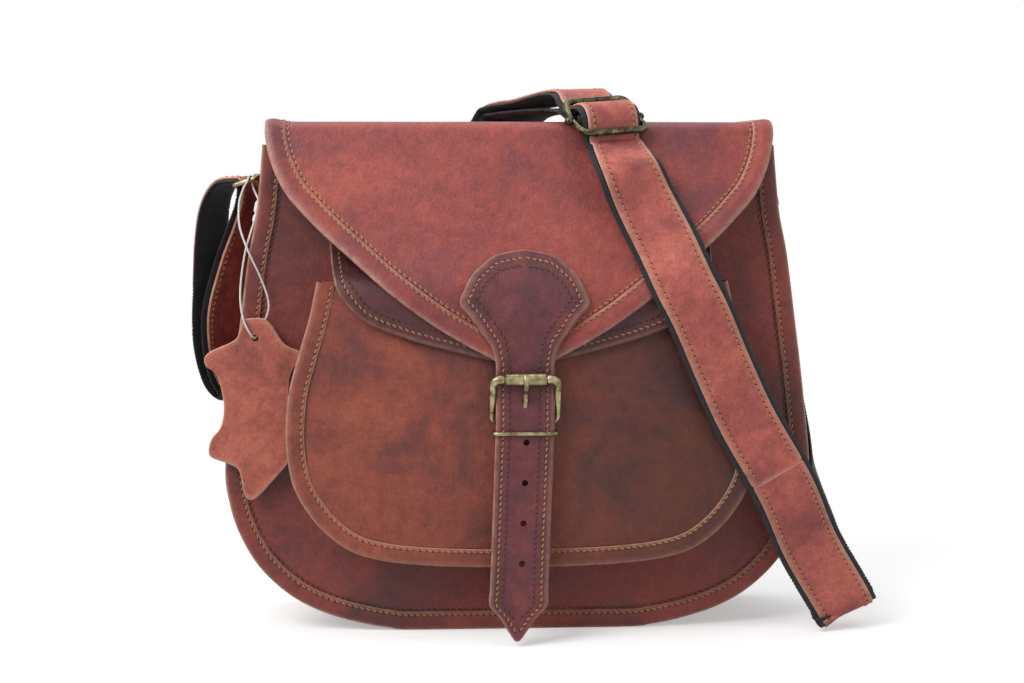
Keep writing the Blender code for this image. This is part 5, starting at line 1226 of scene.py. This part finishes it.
OVER_TOP_SHARES = [
    (0.213, -0.66, 1.103, 0.86, 0.43, 0.06), (0.180, -0.41, 1.103, 0.88, 0.47, 0),
    (0.127, -0.03, 1.096, 0.88, 0.47, 0), (0.073, 0.37, 1.088, 0.88, 0.47, 0),
    (0.021, 0.77, 1.082, 0.88, 0.47, -0.06), (-0.020, 1.13, 1.061, 0.86, 0.4, -0.3),
    (-0.058, 1.17, 1.012, 0.8, 0.1, -0.6), (-0.160, 1.16, 0.942, 0.72, 0, -0.7),
    (-0.400, 1.16, 0.813, 0.7, 0, -0.72), (-0.640, 1.16, 0.697, 0.7, 0, -0.72),
    (-0.860, 1.17, 0.591, 0.62, 0, -0.78), (-0.979, 1.16, 0.526, 0.3, 0, -0.95),
]
LEFT_FAR_SHARES = [
    (-1.030, 1.08, 0.513, 0, 0, -1), (-1.050, 0.83, 0.517, -0.1, -0.2, -0.97),
    (-1.068, 0.53, 0.547, -0.3, -0.6, -0.7), (-1.075, 0.29, 0.616, -0.45, -0.85, -0.25),
    (-1.068, 0.19, 0.711, -0.45, -0.89, 0), (-1.061, 0.17, 0.806, -0.42, -0.9, 0),
    (-1.046, 0.18, 0.875, -0.35, -0.93, 0), (-1.007, 0.17, 0.918, -0.28, -0.96, 0),
]
LEFT_NEAR_SHARES = [
    (-0.934, 0.09, 0.875, -0.3, -0.95, 0), (-0.950, 0.07, 0.810, -0.5, -0.86, 0),
    (-0.979, 0.04, 0.737, -0.66, -0.75, 0), (-1.014, 0.11, 0.659, -0.7, -0.68, -0.2),
    (-1.034, 0.32, 0.586, -0.5, -0.62, -0.6), (-1.029, 0.61, 0.530, -0.25, -0.35, -0.9),
    (-1.016, 0.88, 0.509, 0, 0, -1), (-1.009, 1.04, 0.509, 0, 0, -1), (-0.957, 1.08, 0.522, 0.3, 0, -0.95),
    (-0.860, 1.06, 0.567, 0.62, 0, -0.78), (-0.640, 1.06, 0.675, 0.7, 0, -0.72),
    (-0.400, 1.06, 0.791, 0.7, 0, -0.72), (-0.160, 1.06, 0.920, 0.72, 0, -0.7),
    (-0.047, 1.08, 0.990, 0.8, 0.1, -0.6), (-0.006, 1.07, 1.047, 0.86, 0.4, -0.3),
    (0.031, 0.78, 1.065, 0.88, 0.47, -0.06), (0.087, 0.35, 1.071, 0.88, 0.47, 0),
    (0.147, -0.11, 1.072, 0.88, 0.47, 0), (0.205, -0.53, 1.074, 0.87, 0.46, 0.06),
]


def strap_rows(shares):
    """Rows (x, y, z, width direction) from a table of shares."""
    rows = []
    for x, y, z, *across in shares:
        depth = y * HALF_DEPTH if y >= -1 else -HALF_DEPTH + (y + 1) * (FLAP_FACE - HALF_DEPTH)
        rows.append((x * HALF_WIDTH, depth, z * HEIGHT, *across))
    return rows


def over_bar(centre, out, across, start, end):
    """Rows of the webbing bent round a ring's bar."""
    loop = RING_RADIUS + GAP + WEBBING / 2
    return [(*place, *across) for place in round_bar(centre, out, loop, start, end, 5)]


down = unit(np.array(SLIDER_WAY))
slider_across = np.array(SLIDER_ACROSS)
slider_across = unit(slider_across - down * (slider_across @ down))
slider_out = np.cross(down, slider_across)
middle = SLIDER_RADIUS + 3 * GAP + 1.5 * WEBBING
under = SLIDER_ARCH - SLIDER_RADIUS - 8 * GAP - STRAP_LEATHER - WEBBING / 2
through = []
for share in (1.4, 1, 0.3, -0.3, -1, -1.4):
    lift = middle if abs(share) < 1 else under
    through.append((*(SLIDER_PLACE + down * share * SLIDER_HALF_LENGTH + slider_out * lift), *slider_across))
loop = SLIDER_RADIUS + GAP + WEBBING / 2
sewn_end = []
for share, lift in ((1.4, under - WEBBING - 5 * GAP), (0.75, -2 * loop)):
    sewn_end.append((*(SLIDER_PLACE - down * share * SLIDER_HALF_LENGTH + slider_out * lift), *slider_across))
for a in np.radians(np.linspace(-90, 90, 6)):
    place = SLIDER_PLACE + loop * (down * math.cos(a) + slider_out * math.sin(a))
    sewn_end.append((*place, *slider_across))

_, right_bar, right_way, right_out = ring_frame(1)
_, left_bar, left_way, left_out = ring_frame(-1)
sewn = right_bar - right_out * (RING_RADIUS + GAP + WEBBING / 2)
parts = [
    [(*(sewn - (0, 0, TAB_DROP / 2)), *right_way)], over_bar(right_bar, right_out, right_way, 180, 0),
    strap_rows(RIGHT_SIDE_SHARES), strap_rows(FRONT_RUN_SHARES), through, strap_rows(OVER_TOP_SHARES),
    strap_rows(LEFT_FAR_SHARES), over_bar(left_bar, left_out, -left_way, 90, 180),
    strap_rows(LEFT_NEAR_SHARES), sewn_end,
]
rows, marks = [], []
for part in parts:
    marks.append(len(rows))
    rows += part
rows = np.array(rows, float)

# Stations 10 mm apart fix where the hides start and end, and 0.75 mm ones carry the ribs.
COARSE, FINE = 0.0100, 0.00075
ends = [2 * rows[0] - rows[1], *rows, 2 * rows[-1] - rows[-2]]
stations, coarse_at, starts = [], [], []
for a, b, c, d in zip(ends, ends[1:], ends[2:], ends[3:]):
    starts.append(len(coarse_at))
    span = float(np.linalg.norm((c - b)[:3]))
    coarse = max(1, round(span / COARSE))
    each = max(2, round(span / coarse / FINE))
    for step in range(coarse * each):
        if step % each == 0:
            coarse_at.append(len(stations))
        t = step / (coarse * each)
        stations.append(between(a, b, c, d, t))
starts.append(len(coarse_at))
coarse_at.append(len(stations))
stations.append(rows[-1])
stations = np.array(stations)
places, across = stations[:, :3], stations[:, 3:]
way = tangents(places)
across = unit(across - way * np.sum(across * way, axis=1, keepdims=True))
down_side, front_run, over_top, far, near = [starts[marks[part]] for part in (2, 3, 5, 6, 8)]

# Woven nylon is matt with a faint sheen. Its yarn is drawn 0.7 mm wide, coarser than real, so that it shows.
nylon_rib, tree = blank("ribbed_black_webbing")
# Painted shade and highlight: the edge attribute holds each point's rib height, and the tint is darker in the
# rib hollows and lighter on the ridges.
rib_shade = node(tree, "ShaderNodeAttribute", {"attribute_name": "edge"})
coords = node(tree, "ShaderNodeTexCoord")
fuzz = node(tree, "ShaderNodeTexNoise", Vector=coords.outputs["Object"], Scale=2600.0, Detail=3.0)
yarn = node(tree, "ShaderNodeTexVoronoi", Vector=coords.outputs["Object"], Scale=1500.0)
tint = node(tree, "ShaderNodeMix", {"data_type": "RGBA"}, i0=rib_shade.outputs["Fac"], i6=colour("#08090A"),
            i7=colour("#1D1F22"))
hazy = node(tree, "ShaderNodeMix", {"data_type": "RGBA", "blend_type": "MULTIPLY"}, i0=0.4,
            i6=tint.outputs[2], i7=fuzz.outputs["Color"])
dent = node(tree, "ShaderNodeBump", Strength=0.5, Distance=0.0002, Height=yarn.outputs["Distance"])
surface = node(tree, "ShaderNodeBsdfPrincipled", Base_Color=hazy.outputs[2], Roughness=0.8,
               Sheen_Weight=0.15, Normal=dent.outputs[0])
node(tree, "ShaderNodeOutputMaterial", Surface=surface.outputs[0])

RIB_PITCH, RIB_DEEP = 0.0032, 0.00030
rib = np.abs(np.sin(math.pi * run_of(places) / (RIB_PITCH / 2)))
halves = WEBBING_HALF_WIDTH + 0.0006 * rib - 0.0003
BACK_EDGE, FOLD_EDGE = 0.036, 0.233
behind = (places[:, 1] > BACK_EDGE) & (places[:, 2] < FOLD_EDGE)
over = coarse_at[over_top] + int(np.argmax(behind[coarse_at[over_top]:]))
back_over = len(places) - 1 - int(np.argmax(behind[::-1]))
# The length behind the back rides on the bag, the front one on the shoulder strap, and the others are baked
# in place.
SIDE_BEND = {"start": (0, -0.014, 0.1), "end": (0, -0.050, 0.1)}
TOP_BEND = {"start": (0, 0.043, 0.236), "end": (0, 0.030, 0.256)}
cuts = [0, coarse_at[front_run + 2], coarse_at[over_top], over, back_over, len(places) - 1]
webbing_lengths = [
    ("side", SIDE_BEND), ("front", None), ("top", TOP_BEND), ("back", "bag"), ("end", TOP_BEND),
]


def follow(made, bend):
    """A length of the strap is baked in place if bend is a dict, and otherwise rides on the named body or on
    the shoulder strap.
    """
    if isinstance(bend, dict):
        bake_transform(made)
    else:
        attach(made, bend or "shoulder_strap")


for (name, bend), first, last in zip(webbing_lengths, cuts, cuts[1:]):
    part = slice(first, last + 1)
    grid = band(places[part], across[part], halves[part])
    verts, faces, wear, facing = shell(grid, WEBBING)
    count = grid.shape[0] * grid.shape[1]
    ripple = np.repeat(rib[part], grid.shape[1])[:, None] * RIB_DEEP
    out = facing.reshape(-1, 3)
    verts[:count] += out * (ripple - RIB_DEEP)
    verts[count:2 * count] -= out * (ripple - RIB_DEEP)
    # The edge attribute gets each point's rib height, painted as shade in the hollows and highlight on the
    # ridges; the rim is set between.
    shade = np.concatenate([np.repeat(rib[part], grid.shape[1])] * 2 + [np.full(len(verts) - 2 * count, 0.4)])
    webbing = piece(f"webbing_{name}_length", verts, faces, nylon_rib, None, "webbing", ["strap_webbing"],
                    shade, sharp=60)
    follow(webbing, bend)

strap_hide = leather("tan_strap_hide", "#C2645A", "#9C4D4A", "#D67A66", "#E2B29C", mottle=0.024, fibre=0.12)
THREAD_INSET = 0.0024
lift = -(WEBBING + STRAP_LEATHER) / 2 - GAP / 2
for name, node_name, first, last, bend in (
    ("lower", "lower", down_side + 1, front_run + 4, SIDE_BEND),
    ("front", "front", front_run + 4, over_top, None),
    ("top", "front", over_top, over_top + 11, TOP_BEND),
    ("left", "left", far + 6, near + 10, "bag"),
):
    part = slice(coarse_at[first], coarse_at[last])
    grid = band(places[part], across[part], STRAP_LEATHER_HALF_WIDTH, lift, 11)
    hide = sheet(f"strap_{name}_hide", grid, STRAP_LEATHER, strap_hide, None, "tan_leather",
                 ["strap_leather_" + node_name])
    follow(hide, bend)
    for mark, hand in (("left", -1), ("right", 1)):
        row = places[part] + across[part] * hand * (STRAP_LEATHER_HALF_WIDTH - THREAD_INSET)
        out = -unit(np.cross(way[part], across[part]))
        row = row + out * (STRAP_LEATHER / 2 - lift)
        thread = stitches(f"strap_{name}_{mark}_thread", row[4:-4], out[4:-4], None)
        follow(thread, bend)


# Slider. A gunmetal wire frame with a middle bar that the strap's sewn end goes round and the long run
# passes over; the bar's round ends show as knobs outside the frame.

gunmetal = metal("gunmetal_brass", "#4C483A", "#27261F", "#8E8560", 0.30)
SLIDER_WIRE = 0.0016
wide, bend_by = WEBBING_HALF_WIDTH + SLIDER_EASE + SLIDER_RADIUS, 1.5 * SLIDER_BEND
half = arc((wide - bend_by, SLIDER_HALF_LENGTH - bend_by), bend_by, 0, 90, 10)
half = [(wide, (SLIDER_HALF_LENGTH - bend_by) * k / 4) for k in range(1, 4)] + half
half += [(wide - bend_by - (wide - bend_by) * k / 8, SLIDER_HALF_LENGTH) for k in range(1, 8)]
corners = [(x, -v) for x, v in reversed(half)] + [(wide, 0)] + half
loop_line = corners + [(-x, v) for x, v in reversed(corners)]
centres = in_plane(loop_line, SLIDER_PLACE, slider_across, down)
arch = [SLIDER_ARCH * abs(v) / SLIDER_HALF_LENGTH for _, v in loop_line]
verts, faces = rod(centres + np.outer(arch, slider_out), SLIDER_WIRE, slider_out, 18, True)
piece("slider_frame_wire", verts, faces, gunmetal, "slider", "dark_brass", ["slider_frame"])

reach = wide + SLIDER_RADIUS
stops = [(-1.15, 0.4), (-1.13, 0.95), (-1.07, 1.35), (-1.01, 1.45), (-0.95, 1.3), (-0.90, 1.0), (-0.5, 1.0),
         (0, 1.0)]
stops += [(-share, size) for share, size in reversed(stops[:-1])]
centres = [SLIDER_PLACE + slider_across * reach * share for share, _ in stops]
verts, faces = rod(centres, [SLIDER_RADIUS * size for _, size in stops], slider_out, 18)
piece("slider_middle_bar", verts, faces, gunmetal, "slider", "dark_brass", ["slider_bar"])

low, high = cad_box
